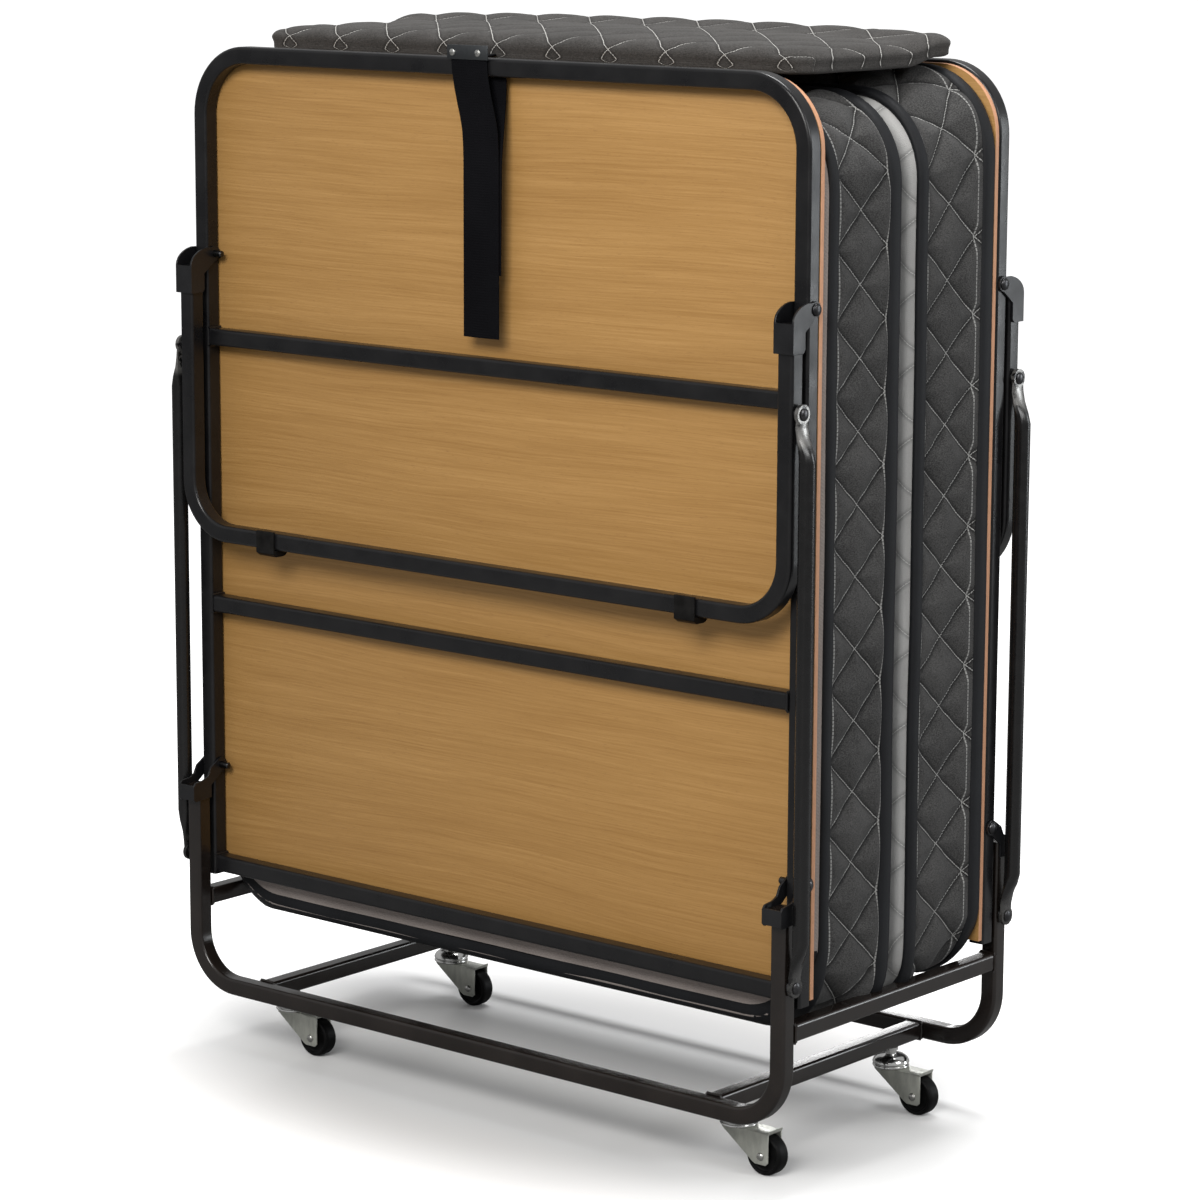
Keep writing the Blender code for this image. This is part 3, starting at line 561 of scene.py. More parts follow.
def weldBead(bm, centre, normal, seed):
    # an uneven fillet round a bar's end, three sides and a run-out
    across = yAxis if abs(normal.x) > 0.5 else xAxis
    half = cot["tube"] / 2 + 0.0003
    before = set(bm.verts)
    for sideways, upwards in ((across, zAxis), (zAxis, across)):
        for sign in (-1, 1):
            start = centre + upwards * sign * half - sideways * half * 0.92
            ring = [start + normal * 0.0017 * math.cos(t) + upwards * sign * 0.0017 * math.sin(t)
                    for t in (math.radians(45 * i) for i in range(8))]
            hop = sideways * half * 1.84 / 9
            runSection(bm, ring, [("go", hop)] * 9)
    for vert in set(bm.verts) - before:
        shake = noise.noise(vert.co * 260 + Vector((seed, 0, 0)))
        outward = (vert.co - centre).normalized()
        vert.co += outward * 0.0006 * shake


for word, front in halves:
    bm = bmesh.new()
    for number, z in enumerate(rails["bars"].values()):
        for side in (-1, 1):
            weldBead(bm, Vector((side * 0.4292, front * cot["railY"], z)), xAxis, number + side)
    addPiece(word + "_half_welds", bm, word + "_half", finishes["frame"], angle=80)
bm = bmesh.new()
for front in (-1, 1):
    for side in (-1, 1):
        y = front * (base["barReach"] - 0.0006)
        weldBead(bm, Vector((side * cot["tubeX"], y, base["upperZ"])), yAxis, side + front)
        weldBead(bm, Vector((side * base["lowerX"], y, base["crossZ"])), yAxis, side - front)
addPiece("base_welds", bm, "base", finishes["base"], angle=80)


# ---- pins, studs, brackets, links and feet

pins = {"radius": 0.0040, "head": 0.0068, "tip": 0.415, "face": 0.4533, "dome": 0.0030}
studs = {"face": 0.4586, "head": 0.0066, "dome": 0.0026, "collar": 0.0072, "seat": 0.4535}

for word, front in halves:
    railY, legY = front * cot["railY"], front * cot["legY"]
    for label, side in sides:
        for kind, z in (("fold", cot["foldZ"]), ("leg", cot["legPivotZ"])):
            face, tip, dome, head = pins["face"], pins["tip"], pins["dome"], pins["head"]
            profile = [(0, tip), (pins["radius"] - 0.0011, tip), (pins["radius"], tip + 0.0012),
                       (pins["radius"], face), (head, face), (head, face + 0.0008),
                       (head * 0.88, face + dome * 0.62), (head * 0.55, face + dome * 0.92),
                       (0, face + dome)]
            bm = turnProfile(bmesh.new(), profile, (0, railY, z), xAxis * side, 28)
            addPiece(f"{word}_{kind}_bolt_{label}", bm, word + "_half", finishes["bolt"],
                     [f"{word}_{kind}_pin_{label}"])
        for body, z in ((word + "_leg", cot["legPivotZ"]), ("base", cot["foldZ"])):
            face, dome, head = studs["face"], studs["dome"], studs["head"]
            profile = [(0, 0.446), (studs["collar"], 0.446), (studs["collar"], studs["seat"]),
                       (0.0040, studs["seat"]), (0.0040, face), (head, face),
                       (head, face + 0.0008), (head * 0.8, face + dome * 0.7),
                       (head * 0.4, face + dome * 0.95), (0, face + dome)]
            bm = turnProfile(bmesh.new(), profile, (0, legY, z - cot["linkDrop"]), xAxis * side, 28)
            addPiece(f"{word}_stud_{'upper' if 'leg' in body else 'lower'}_{label}", bm, body,
                     finishes["bolt"])
        dressNode(f"{word}_leg_bracket_{label}", finishes["bracket"])
        dressNode(f"{word}_post_bracket_{label}", finishes["bracket"])
        dressNode(f"{word}_link_{label}", finishes["link"], 0.0004)
        dressNode(f"{word}_foot_{label}", finishes["foot"], 0.0009)
dressNode("headboard_bracket", finishes["bracket"])
print("hinges done")


# ---- casters

caster = {"x": 0.340, "y": 0.141, "trail": 0.040, "wheel": 0.023, "half": 0.009}
fork = {"inside": 0.0108, "outside": 0.0126}
for word, front in halves:
    for label, side in sides:
        tag = f"{word}_{label}"
        x, y = side * caster["x"], front * caster["y"]
        stem = [(0, 0.0722), (0.0080, 0.0722), (0.0080, 0.0690), (0.0064, 0.0685), (0.0064, 0.0645),
                (0.0100, 0.0640), (0.0155, 0.0626), (0.0192, 0.0598), (0.0208, 0.0570),
                (0.0212, 0.0552), (0.0205, 0.0538), (0.0198, 0.0530), (0.0208, 0.0522),
                (0.0211, 0.0511), (0.0203, 0.0500), (0.0030, 0.0498), (0.0030, 0.0468), (0, 0.0468)]
        addPiece("caster_dome_" + tag, turnProfile(bmesh.new(), stem, (x, y, 0), zAxis, 48), "base",
                 finishes["chrome"], ["caster_head_" + tag], 32)
        bm = bmesh.new()
        cheek = [(-0.0150, 0.0494), (-0.0140, 0.0462), (0.0285, 0.0150), (0.0320, 0.0132),
                 (0.0465, 0.0132), (0.0500, 0.0165), (0.0500, 0.0494)]
        outline = [(x + along, z) for along, z in cheek]
        plateShell(bm, outline, y - fork["outside"], y - fork["inside"])
        plateShell(bm, outline, y + fork["inside"], y + fork["outside"])
        plateShell(bm, [(x - 0.0150, 0.0480), (x + 0.0500, 0.0480), (x + 0.0512, 0.0520),
                        (x + 0.0498, 0.0524), (x + 0.0488, 0.0499), (x - 0.0150, 0.0499)],
                   y - fork["outside"] - 0.0002, y + fork["outside"] + 0.0002)
        softEdges(bm, 0.0007, 40)
        addPiece("caster_yoke_" + tag, bm, "caster_swivel_" + tag, finishes["zinc"],
                 ["caster_fork_" + tag], 35)
        r, h = caster["wheel"], caster["half"]
        rim = [(0.0034, h), (0.0062, h), (0.0068, h - 0.0008), (0.0074, h - 0.0030),
               (0.0165, h - 0.0034), (0.0178, h - 0.0026), (0.0186, h - 0.0004), (0.0194, h),
               (0.0208, h - 0.0001), (0.0222, h - 0.0012), (0.0229, h - 0.0032), (r, h - 0.0050)]
        profile = [(radius, -along) for radius, along in rim] + rim[::-1] + [(0.0034, -h)]
        bm = turnProfile(bmesh.new(), profile, (x + caster["trail"], y, r), yAxis, 56)
        addPiece("caster_tyre_" + tag, bm, "caster_roller_" + tag, finishes["wheel"],
                 ["caster_wheel_" + tag], 32)
        for sign in (-1, 1):
            rivet = [(0, 0.0158), (0.0022, 0.0156), (0.0037, 0.0149), (0.0044, 0.0139),
                     (0.0046, 0.0128), (0.0030, 0.0118), (0, 0.0118)]
            bm = turnProfile(bmesh.new(), rivet, (x + caster["trail"], y, r), yAxis * sign, 24)
            addPiece(f"caster_rivet_{tag}_{'near' if sign < 0 else 'far'}", bm,
                     "caster_swivel_" + tag, finishes["bright"])
print("casters done")


# ---- boards

board = {"half": 0.449, "bottom": 0.213, "top": 1.192, "corner": 0.076, "thick": 0.0065,
         "face": 0.1602}
for word, front in halves:
    bm = bmesh.new()
    edge = [(-board["half"], board["bottom"]), (board["half"], board["bottom"]),
            (board["half"], board["top"]), (-board["half"], board["top"])]
    corners = [bm.verts.new((x, front * board["face"], z)) for x, z in edge]
    bm.faces.new(corners)
    bmesh.ops.bevel(bm, geom=corners[2:], affect="VERTICES", offset=board["corner"], segments=12,
                    profile=0.5, material=-1)
    drawOut(bm, list(bm.faces), (0, -front * board["thick"], 0))
    for face in bm.faces:
        face.material_index = 0 if abs(face.normal.y) > 0.7 else 1
    softEdges(bm, 0.0005, 60)
    addPiece(word + "_deck", bm, word + "_half", [finishes["beech"], finishes["edge"]],
             [word + "_board"], 30)
print("boards done")


# ---- cushions

cushion = {"half": 0.4405, "bottom": 0.1745, "top": 1.1635, "corner": 0.088,
           "inner": 0.0200, "outer": 0.1532, "edge": 0.014, "voxel": 0.0062, "cap": 0.0055,
           "period": 0.0785, "across": 0.090, "puff": 0.0092, "sink": 0.0056,
           "facePuff": 0.0035, "faceSink": 0.0030, "crease": 0.0012, "ripple": 0.0013,
           "square": 4.0, "widen": 0.0135, "lift": 0.0200,
           "tapedBelow": 0.262, "tapedTurn": 0.40}
limits = {"nearest": 0.0152, "half": 0.4484, "bottom": 0.1700}  # the furthest it may reach
filling = {"pressure": 4.0, "frames": 20, "least": 0.8}
layouts = {  # where each cushion's tapes and stitch lattice lie; sign is the side of y
    "front": {"sign": -1, "inner": 0.0235, "innerWidth": 0.0200, "outer": 0.1320,
              "outerWidth": 0.0165, "middle": 0.0780, "phase": 0.0691, "flare": 0.0},
    "rear": {"sign": 1, "inner": 0.0270, "innerWidth": 0.0165, "outer": 0.1422,
             "outerWidth": 0.0205, "middle": 0.0800, "phase": 0.0602, "flare": 1.0},
}


def roundedSlab(corners, radius, thickness, rimEdge):
    # a slab from four corners in order, its plan corners and its rims rounded
    bm = bmesh.new()
    verts = [bm.verts.new(corner) for corner in corners]
    bm.faces.new(verts)
    bmesh.ops.bevel(bm, geom=verts, affect="VERTICES", offset=radius, segments=10, profile=0.5,
                    material=-1)
    drawOut(bm, list(bm.faces), thickness)
    softEdges(bm, rimEdge, 60, 5)
    return bm


def applyModifiers(piece):
    bpy.context.view_layer.update()
    graph = bpy.context.evaluated_depsgraph_get()
    made = bpy.data.meshes.new_from_object(piece.evaluated_get(graph))
    piece.modifiers.clear()
    piece.data = made


def coordsOf(mesh):
    co = np.empty(len(mesh.vertices) * 3, np.float32)
    mesh.vertices.foreach_get("co", co)
    return co.reshape(-1, 3).astype(float)


def setCoords(mesh, co):
    mesh.vertices.foreach_set("co", co.astype(np.float32).ravel())
    mesh.update()


def normalsOf(mesh):
    out = np.empty(len(mesh.vertices) * 3, np.float32)
    mesh.vertex_normals.foreach_get("vector", out)
    return out.reshape(-1, 3).astype(float)


def stuffed(bm, name, voxel, cap, keepOut):
    # voxel remesh, then cloth pressure with the movement held to cap; keepOut clamps the result
    piece = newMesh(name, bm)
    remesh = piece.modifiers.new("voxels", "REMESH")
    remesh.mode = "VOXEL"
    remesh.voxel_size = voxel
    applyModifiers(piece)
    start, outward = coordsOf(piece.data), normalsOf(piece.data)
    cloth = piece.modifiers.new("fill", "CLOTH")
    cloth.settings.use_pressure = True
    cloth.settings.uniform_pressure_force = filling["pressure"]
    cloth.settings.effector_weights.gravity = 0
    cloth.settings.quality = 4
    cloth.point_cache.frame_start = 1
    cloth.point_cache.frame_end = filling["frames"]
    for number in range(1, filling["frames"] + 1):
        bpy.context.scene.frame_set(number)
    applyModifiers(piece)
    bpy.context.scene.frame_set(1)
    # the least swell keeps the cover tight against its tapes, also where the cloth drew in
    swell = np.sum((coordsOf(piece.data) - start) * outward, axis=1, keepdims=True)
    moved = outward * np.clip(swell, cap * filling["least"], cap)
    setCoords(piece.data, keepOut(start + moved))
    finer = piece.modifiers.new("finer", "SUBSURF")
    finer.levels = finer.render_levels = 1
    applyModifiers(piece)
    setCoords(piece.data, keepOut(coordsOf(piece.data)))
    return piece


def loopPlace(x, z, half, tall, radius):
    # distance round a rounded rectangle, from the middle of its right side, up and round
    px, pz = np.abs(x), np.abs(z)
    cx, cz = half - radius, tall - radius
    turn = np.arctan2(np.maximum(pz - cz, 0), np.maximum(px - cx, 0))
    onSide = (pz <= cz) & ((px - cx) >= (pz - cz))
    onCap = (px <= cx) & ~onSide
    bend = radius * math.pi / 2
    quarter = np.where(onSide, pz, np.where(onCap, cz + bend + (cx - px), cz + radius * turn))
    whole = 2 * (cz + bend + cx)
    right = np.where(z >= 0, quarter, -quarter)
    left = np.where(z >= 0, whole - quarter, -whole + quarter)
    return np.where(x >= 0, right, left), 2 * whole


def puffs(along, across):
    # 0 on the seams, 1 in the middle of a diamond
    first = np.abs((along + across) - np.round(along + across))
    second = np.abs((along - across) - np.round(along - across))
    return 1 - (1 - np.clip(np.minimum(first, second) * 2, 0, 1)) ** 2.4


def smoothStep(value, low, high):
    t = np.clip((value - low) / (high - low), 0, 1)
    return t * t * (3 - 2 * t)


def easeDown(z, high, low):
    return smoothStep(high - z, 0, high - low)


def fineNoise(points, scale, seed):
    shift = Vector((seed, seed * 2, 0))
    return np.array([noise.noise(Vector(p) * scale + shift) for p in points])


def keepCells(mesh, along, across, quilted):
    cell = mesh.attributes.new("cell", "FLOAT_VECTOR", "POINT")
    values = np.stack([along, across, quilted], 1).astype(np.float32)
    cell.data.foreach_set("vector", values.ravel())


centreZ = (cushion["bottom"] + cushion["top"]) / 2
tallHalf = (cushion["top"] - cushion["bottom"]) / 2


def keepCushion(co):
    co = co.copy()
    co[:, 1] = np.clip(co[:, 1], limits["nearest"], cushion["outer"])
    co[:, 0] = np.clip(co[:, 0], -limits["half"], limits["half"])
    co[:, 2] = np.maximum(co[:, 2], limits["bottom"])
    return co


def fillCushion():
    # built on the rear side; the front one starts as its mirror
    half, inner, bottom, top = (cushion[k] for k in ("half", "inner", "bottom", "top"))
    corners = [(-half, inner, bottom), (half, inner, bottom), (half, inner, top),
               (-half, inner, top)]
    bm = roundedSlab(corners, cushion["corner"], (0, cushion["outer"] - inner, 0), cushion["edge"])
    return stuffed(bm, "rear_mattress", cushion["voxel"], cushion["cap"], keepCushion)


def squareCorners(co, cornerX, cornerZ, amount):
    # fills out the two lower corners, most where amount is 1
    dx, dz = np.abs(co[:, 0]) - cornerX, cornerZ - co[:, 2]
    inside = (dx > 0) & (dz > 0)
    long = np.maximum(np.hypot(dx, dz), 1e-9)
    c, s = np.clip(dx / long, 0, 1), np.clip(dz / long, 0, 1)
    whole = np.maximum(c ** cushion["square"] + s ** cushion["square"], 1e-6)
    grow = whole ** (-1 / cushion["square"]) - 1
    grow = np.where(inside, grow * amount, 0)
    co[:, 0] += np.sign(co[:, 0]) * dx * grow
    co[:, 2] -= dz * grow


def quiltCushion(piece, layout):
    mesh = piece.data
    co, normal = coordsOf(mesh), normalsOf(mesh)
    co[:, 1] *= layout["sign"]
    normal[:, 1] *= layout["sign"]
    x, y, z = co[:, 0], co[:, 1], co[:, 2] - centreZ
    along, whole = loopPlace(x, z, cushion["half"], tallHalf, cushion["corner"])
    period = whole / round(whole / cushion["period"])
    low, high = layout["inner"], layout["outer"]
    onBorder = (y > low) & (y < high) & (np.hypot(normal[:, 0], normal[:, 2]) > 0.3)
    onSleep = (y <= low) | (~onBorder & (y < 0.08))
    cellA = np.where(onBorder, (along - layout["phase"]) / period, x / cushion["across"])
    cellB = np.where(onBorder, (y - layout["middle"]) / cushion["across"],
                     (z - layout["phase"]) / cushion["period"] + plainEdge)
    quilted = np.where(onBorder | onSleep, 1.0, 0.0)
    fade = smoothStep(np.minimum(y - low, high - y), 0.006, 0.018)
    faceIn = np.minimum(cushion["half"] - np.abs(x), tallHalf - np.abs(z))
    faceFade = smoothStep(faceIn, 0.004, 0.03)
    ripple = fineNoise(co, 16.0, 3.0 + layout["sign"])
    crease = cushion["crease"] * fineNoise(co * np.array([1, 1, 0.45]), 60.0, 5.0)
    puffed = puffs(cellA, cellB)
    border = (cushion["puff"] * puffed - cushion["sink"] + crease) * fade
    face = (cushion["facePuff"] * puffed - cushion["faceSink"]) * faceFade
    lift = np.where(onBorder, border, np.where(onSleep, face, 0))
    co += normal * (lift + cushion["ripple"] * ripple * (quilted > 0))[:, None]
    # the rear cushion widens and rises towards its board
    co[:, 0] *= 1 + cushion["widen"] * layout["flare"] * smoothStep(y, 0.100, 0.146)
    raised = layout["flare"] * smoothStep(y, 0.030, 0.130)
    co[:, 2] += raised * cushion["lift"] * smoothStep(z, 0.25, tallHalf - 0.02)
    squareCorners(co, cushion["half"] - cushion["corner"], cushion["bottom"] + cushion["corner"],
                  smoothStep(-y, -0.125, -0.040))
    co = keepCushion(co)
    co[:, 1] *= layout["sign"]
    setCoords(mesh, co)
    keepCells(mesh, cellA, cellB, quilted)
    # the outer rim low down, which the leaning tape covers
    boundRim = ((co[:, 2] < cushion["tapedBelow"])
                & (np.hypot(normal[:, 0], normal[:, 2]) > cushion["tapedTurn"]))
    region = np.where(onBorder, 0, np.where(onSleep, 1, np.where(boundRim, 3, 2)))
    loops = np.empty(len(mesh.loops), np.int32)
    mesh.loops.foreach_get("vertex_index", loops)
    starts = np.empty(len(mesh.polygons), np.int32)
    mesh.polygons.foreach_get("loop_start", starts)
    for key in ("cover", "sleep", "felt", "tape"):
        mesh.materials.append(finishes[key])
    mesh.polygons.foreach_set("material_index", region[loops[starts]].astype(np.int32))
    mesh.shade_smooth()


def mirrored(piece, name):
    copy = newObject(name, piece.data.copy())
    copy.data.transform(Matrix.Scale(-1, 4, yAxis))
    copy.data.flip_normals()
    return copy


rearMattress = fillCushion()
frontMattress = mirrored(rearMattress, "front_mattress")
for piece, word in ((rearMattress, "rear"), (frontMattress, "front")):
    quiltCushion(piece, layouts[word])
    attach(piece, word + "_half")
    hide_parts(word + "_cushion")
print("cushions done,", len(rearMattress.data.polygons), "faces each")


tape = {"half": 0.4438, "bottom": 0.1712, "top": 1.1668, "corner": 0.091, "height": 0.0052,
        "round": 0.75, "steps": 14, "sway": 0.0010, "drift": 0.0013, "widen": 0.0088,
        "lean": 50, "leanTo": -0.0125, "leanHigh": 0.270, "leanLow": 0.190,
        "leanWiden": 1.5, "leanSink": 0.0030, "lowest": 0.1672, "furthest": 0.1534}


def tapeLoop(name, body, y, width, leans, flare):
    # a folded binding tape round a cushion; an outer one leans onto the rim along the bottom
    half, corner = tape["half"], tape["corner"]
    middle, tall = (tape["bottom"] + tape["top"]) / 2, (tape["top"] - tape["bottom"]) / 2
    centre = Vector((half, y, middle))
    ring, steps = [], tape["steps"]
    for step in range(steps):
        turn = 2 * math.pi * step / steps
        c, s = math.cos(turn), math.sin(turn)
        wide = math.copysign(abs(s) ** tape["round"], s) * width / 2
        ring.append(centre + xAxis * c * tape["height"] + yAxis * wide)
    inX, inTop, inBottom = half - corner, tape["top"] - corner, tape["bottom"] + corner
    moves = []
    for hop, x, z in (((0, 0, inTop - middle), inX, inTop), ((-2 * inX, 0, 0), -inX, inTop),
                      ((0, 0, inBottom - inTop), -inX, inBottom), ((2 * inX, 0, 0), inX, inBottom)):
        moves += [("go", Vector(hop)), ("turn", (x, y, z), yAxis, -90, steps)]
    moves.append(("go", Vector((0, 0, middle - inBottom))))
    bm = runSection(bmesh.new(), ring, moves, capped=False)
    straights = [e for e in bm.edges if e.calc_length() > 0.05]
    bmesh.ops.subdivide_edges(bm, edges=straights, cuts=24)
    side = math.copysign(1, y)
    for vert in bm.verts:
        # how far the point is from the tape's middle line, and which way is out there
        px, pz = vert.co.x, vert.co.z - middle
        nearX = min(max(px, -inX), inX)
        nearZ = min(max(pz, corner - tall), tall - corner)
        out = Vector((px - nearX, 0, pz - nearZ))
        if out.length < 1e-6:
            continue
        raised = out.length - corner
        out.normalize()
        sideways = (vert.co.y - y) * side
        lean = leans * easeDown(vert.co.z, tape["leanHigh"], tape["leanLow"])
        turn = math.radians(tape["lean"]) * lean
        sideways *= 1 + tape["leanWiden"] * lean
        fresh = raised * math.cos(turn) - sideways * math.sin(turn)
        sideways = raised * math.sin(turn) + sideways * math.cos(turn) - tape["leanTo"] * lean
        sway = tape["sway"] * noise.noise(vert.co * 7.0 + Vector((y * 50, 0, 0)))
        vert.co += out * (fresh - raised + sway - tape["leanSink"] * lean)
        drift = tape["drift"] * noise.noise(vert.co * 5.0 + Vector((0, y * 80, 4)))
        vert.co.y = y + side * sideways + drift
        vert.co.x *= 1 + tape["widen"] * flare
        rise = smoothStep(vert.co.z, middle + 0.25, tape["top"] - 0.02)
        vert.co.z = max(vert.co.z + cushion["lift"] * flare * rise, tape["lowest"])
        if abs(vert.co.y) > tape["furthest"]:
            vert.co.y = side * tape["furthest"]
    if abs(y) < 0.05:
        spots = np.array([v.co for v in bm.verts])
        squareCorners(spots, inX, inBottom, np.ones(len(spots)))
        for vert, spot in zip(bm.verts, spots):
            vert.co = Vector(spot)
    return addPiece(name, bm, body, finishes["tape"], angle=70)


for word, layout in layouts.items():
    for label in ("inner", "outer"):
        leans = 1.0 if (word, label) == ("front", "outer") else 0.4 if label == "outer" else 0.0
        tapeLoop(f"{word}_tape_{label}", word + "_half", layout["sign"] * layout[label],
                 layout[label + "Width"], leans, layout["flare"] * (label == "outer"))


# ---- headboard pad

pad = {"half": 0.394, "front": -0.1205, "rear": 0.1615, "bottom": 1.2005, "top": 1.2250,
       "corner": 0.030, "edge": 0.0105, "voxel": 0.0055, "cap": 0.004, "crown": 0.0075 * 1.15,
       "endDrop": 0.0035, "puff": 0.0030, "seamZ": 1.2085, "pinch": 0.0022, "ripple": 0.0008,
       "stepX": 0.080, "stepY": 0.0860, "sag": 0.0100, "flatten": 0.0020}
padRoom = ((-0.4000, 0.4000), (-0.1290, 0.1660), (1.1995, 1.2372))  # how far it may reach


def keepPad(co):
    lows, highs = zip(*padRoom)
    return np.clip(co, lows, highs)


def shapePad():
    half, front, rear, bottom = (pad[k] for k in ("half", "front", "rear", "bottom"))
    corners = [(-half, front, bottom), (half, front, bottom), (half, rear, bottom),
               (-half, rear, bottom)]
    bm = roundedSlab(corners, pad["corner"], (0, 0, pad["top"] - bottom), pad["edge"])
    piece = stuffed(bm, "headboard_cushion", pad["voxel"], pad["cap"], keepPad)
    mesh = piece.data
    co = coordsOf(mesh)
    middleY, halfY = (front + rear) / 2, (rear - front) / 2
    u, v = co[:, 0] / pad["half"], (co[:, 1] - middleY) / halfY
    upper = smoothStep(co[:, 2], bottom + 0.006, pad["top"])
    fromMiddle, fromLine = np.clip(np.abs(u), 0, 1), np.clip(np.abs(v), 0, 1)
    crown = pad["crown"] * (1 - fromMiddle ** 2.6) * (1 - fromLine ** 2.2)
    co[:, 2] += (crown - pad["endDrop"] * fromMiddle ** 4) * upper
    setCoords(mesh, co)
    normal = normalsOf(mesh)
    side = smoothStep(np.abs(normal[:, 2]), 0.75, 0.45)
    outward = np.where(np.abs(co[:, 1] - middleY) > halfY - 0.02, co[:, 2] - pad["top"], 0)
    cellA = (co[:, 0] - 0.01) / pad["stepX"]
    cellB = (co[:, 1] - np.sign(v) * outward * side) / pad["stepY"]
    above = co[:, 2] > pad["seamZ"] - 0.001
    quilted = np.where(above | (side > 0.3), 1.0, 0.0)
    seamFade = smoothStep(np.abs(co[:, 2] - pad["seamZ"]), 0.0005, 0.008)
    lift = pad["puff"] * (puffs(cellA, cellB) - 0.75) * quilted * (0.35 + 0.65 * (1 - side))
    pinch = pad["pinch"] * (1 - seamFade) * side
    ripple = pad["ripple"] * fineNoise(co, 18.0, 7.0)
    co += normal * (lift * seamFade - pinch + ripple)[:, None]
    co = keepPad(co)
    co[:, 2] -= pad["sag"] * smoothStep(-co[:, 1], -0.125, -0.070)
    co[:, 2] -= pad["flatten"] * smoothStep(co[:, 2], 1.215, 1.232)
    setCoords(mesh, co)
    keepCells(mesh, cellA, cellB + plainEdge, quilted)
    mesh.materials.append(finishes["top"])
    mesh.shade_smooth()
    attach(piece, "rear_half")
    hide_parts("headboard_pad")


shapePad()
print("headboard done")


# ---- closing strap

strap = {"width": 0.0515, "left": -0.0420, "drift": 0.0175, "top": 1.1970, "skewEnd": 1.110,
         "bottom": 0.890, "y": -0.1836, "thick": 0.0017, "rows": 60, "columns": 10}
strapBack = {"top": 1.1752, "bottom": 0.960, "rows": 40, "left": -0.0255, "y": -0.1700}
keeper = {"left": -0.0460, "right": 0.0130, "bottom": 1.1940, "top": 1.2098,
          "front": -0.1861, "back": -0.1845, "rivets": (-0.0378, -0.0008), "rivetZ": 1.2015}
tab = {"middle": -0.0165, "width": 0.040, "skew": 0.036, "y": -0.1842, "reach": 0.0642,
       "z": 1.1974, "drop": 0.0010, "length": 0.0643}


def thicken(piece):
    layer = piece.modifiers.new("thickness", "SOLIDIFY")
    layer.thickness = strap["thick"]
    layer.offset = 0.0


def strapLayer(name, leftAt, yAt, top, bottom, rows):
    bm = bmesh.new()
    bmesh.ops.create_grid(bm, x_segments=strap["columns"], y_segments=rows, size=0.5)
    for vert in bm.verts:
        across, down = vert.co.x + 0.5, 0.5 - vert.co.y
        z = top + (bottom - top) * down
        curl = 0.0007 * math.cos(across * math.pi * 2)
        vert.co = Vector((leftAt(z) + across * strap["width"], yAt(z) + curl, z))
    bmesh.ops.recalc_face_normals(bm, faces=bm.faces)
    piece = addPiece(name, bm, "strap", finishes["webbing"], angle=60)
    thicken(piece)
    edge = piece.modifiers.new("softEdge", "BEVEL")
    edge.width = 0.0005
    edge.segments = 2
    return piece


def frontLeft(z):
    return strap["left"] + strap["drift"] * easeDown(z, strap["top"], strap["skewEnd"])


def backLeft(z):
    return strapBack["left"] + 0.0030 * easeDown(z, 1.17, 1.09) - 0.0010 * easeDown(z, 1.09, 0.96)


frontLayer = strapLayer(
    "strap_front", frontLeft,
    lambda z: strap["y"] - 0.0025 * math.sin(math.pi * easeDown(z, 1.20, 1.08)), strap["top"],
    strap["bottom"], strap["rows"])
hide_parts("closing_strap")
backLayer = strapLayer(
    "strap_return", backLeft, lambda z: strapBack["y"] - 0.0112 * easeDown(z, 1.172, 1.075),
    strapBack["top"], strapBack["bottom"], strapBack["rows"])
for number, x in enumerate(keeper["rivets"]):
    profile = [(0, 0.0020), (0.0022, 0.0018), (0.0037, 0.0010), (0.0040, -0.0002), (0, -0.0002)]
    bm = turnProfile(bmesh.new(), profile, (x, keeper["front"], keeper["rivetZ"]), -yAxis, 24)
    addPiece(f"strap_rivet_{number + 1}", bm, "rear_half", finishes["bright"])

bm = bmesh.new()
outline = [(keeper[side], keeper[end]) for side, end in (
    ("left", "bottom"), ("right", "bottom"), ("right", "top"), ("left", "top"))]
plateShell(bm, outline, keeper["front"], keeper["back"])
softEdges(bm, 0.0004, 40)
addPiece("strap_keeper", bm, "rear_half", finishes["plate"], ["strap_plate"], 40)

bm = bmesh.new()  # the webbing from the keeper back to the pad
bmesh.ops.create_grid(bm, x_segments=8, y_segments=14, size=0.5)
for vert in bm.verts:
    along = vert.co.y + 0.5
    vert.co = Vector((tab["middle"] - tab["skew"] * along + vert.co.x * tab["width"],
                      tab["y"] + along * tab["reach"], tab["z"] - tab["drop"] * along))
piece = addPiece("strap_tab", bm, "rear_half", finishes["webbing"], angle=60)
thicken(piece)
print("strap done")


# ---- floor, light and camera

studio = {"floor": 0.74, "paintedGlowFar": 0.75, "paintedGlowFrom": 0.36, "paintedGlowTo": 0.80, "bounce": 0.22,
          "world": 0.46, "camera": (2.94472, -3.48035, 1.41610), "yaw": 40.0515,
          "pitch": 10.5062, "roll": 0.2316, "lens": 4027.49 / 1200 * 36}
lamps = {  # place, aim, width, height, power and colour
    "key": ((1.5, -4.4, 3.6), (0, 0, 0.7), 2.8, 1.8, 240, (1.0, 0.985, 0.96)),
    "rim": ((3.2, 3.5, 1.1), (0.3, 0, 0.7), 0.7, 2.1, 36, (0.93, 0.97, 1.0)),
    "right": ((4.2, 0.2, 2.9), (0.3, 0, 0.8), 1.6, 1.6, 58, (1.0, 1.0, 1.0)),
    "top": ((-0.1, 1.0, 4.6), (0.1, 0, 0.4), 1.8, 1.4, 120, (1.0, 1.0, 1.0)),
    "low": ((-2.1, 3.0, 0.9), (0.4, 0, 0.15), 0.8, 0.6, 11, (1.0, 1.0, 1.0)),
}


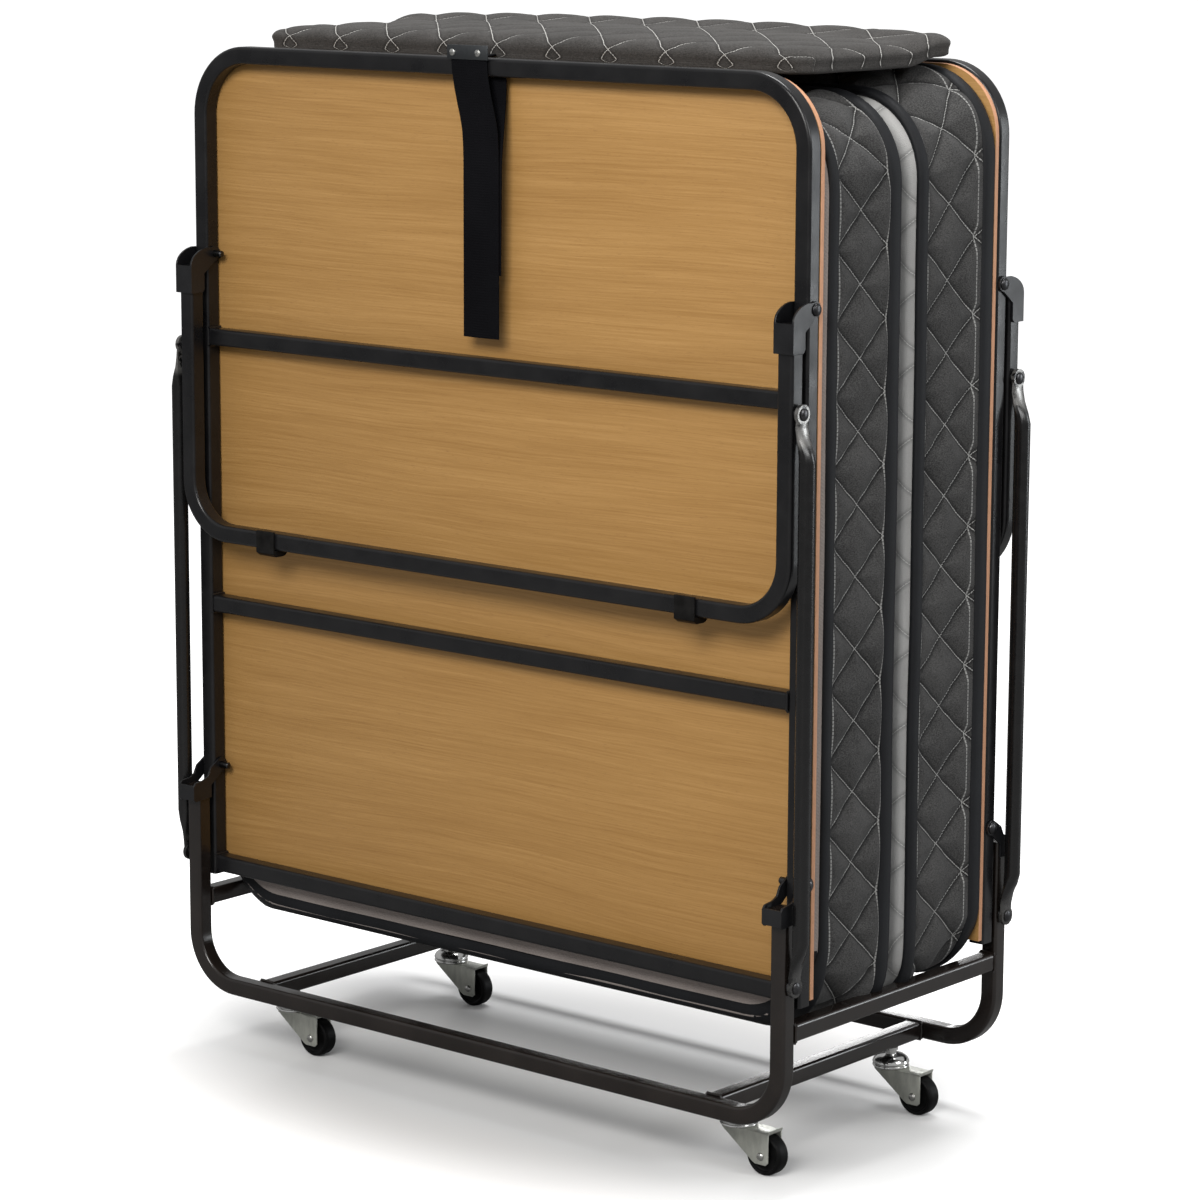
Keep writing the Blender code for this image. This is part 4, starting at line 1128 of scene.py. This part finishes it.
def buildStudio():
    bm = bmesh.new()
    bmesh.ops.create_grid(bm, x_segments=1, y_segments=1, size=60)
    floor = newMesh("floor", bm)
    material, tree, shader, where = newMaterial("paleFloor", 0.7, specular=0.2)
    # the floor looks near white, but throws less light back up; to the camera it also glows, not at
    # all near the cot and fully further out, which leaves a painted shade round and under the cot
    seen = put(tree, "ShaderNodeLightPath").outputs["Is Camera Ray"]
    tone = noiseOf(tree, where, 3.0, 2.0)
    pale = mixColour(tree, tone, (studio["floor"],) * 3, (studio["floor"] * 1.02,) * 3)
    shown = mixColour(tree, seen, (studio["bounce"],) * 3, pale)
    tree.links.new(shown, shader.inputs["Base Color"])
    shader.inputs["Emission Color"].default_value = (1, 1, 1, 1)
    away = put(tree, "ShaderNodeVectorMath", {0: stretched(tree, where, (1.0, 1.45, 1.0))},
               operation="LENGTH").outputs["Value"]
    # painted shade round the cot: the emission seen by the camera fades to nothing near it
    paintedFloorGlow = spread(tree, away, studio["paintedGlowFrom"], studio["paintedGlowTo"], 0.0, studio["paintedGlowFar"], True)
    tree.links.new(times(tree, seen, paintedFloorGlow), shader.inputs["Emission Strength"])
    floor.data.materials.append(material)
    world = bpy.data.worlds.new("studio")
    bpy.context.scene.world = world
    world.use_nodes = True
    tree = world.node_tree
    background = tree.nodes["Background"]
    background.inputs["Color"].default_value = (1.0, 1.0, 1.0, 1)
    seen = put(tree, "ShaderNodeLightPath").outputs["Is Camera Ray"]
    tree.links.new(spread(tree, seen, 0, 1, studio["world"], 1.0), background.inputs["Strength"])
    for name, (spot, aim, width, height, power, colour) in lamps.items():
        lamp = bpy.data.lights.new(name, "AREA")
        lamp.shape = "RECTANGLE"
        lamp.size, lamp.size_y = width, height
        lamp.energy = power
        lamp.color = colour
        holder = newObject(name, lamp)
        holder.location = spot
        towards = (Vector(aim) - Vector(spot)).to_track_quat("-Z", "Y")
        holder.rotation_euler = towards.to_euler()


def buildCamera():
    data = bpy.data.cameras.new("camera")
    camera = newObject("camera", data)
    yaw, pitch, roll = (math.radians(studio[k]) for k in ("yaw", "pitch", "roll"))
    forward = Vector((-math.sin(yaw) * math.cos(pitch), math.cos(yaw) * math.cos(pitch),
                      -math.sin(pitch)))
    level = Vector((math.cos(yaw), math.sin(yaw), 0))
    up = level.cross(forward)
    right = level * math.cos(roll) + up * math.sin(roll)
    up = up * math.cos(roll) - level * math.sin(roll)
    turned = Matrix((right, up, -forward)).transposed().to_4x4()
    camera.matrix_world = Matrix.Translation(studio["camera"]) @ turned
    data.sensor_width = 36
    data.lens = studio["lens"]
    data.clip_start, data.clip_end = 0.05, 300
    bpy.context.scene.camera = camera


buildStudio()
buildCamera()
bpy.context.scene.view_settings.view_transform = "Standard"

print("all pieces ready")
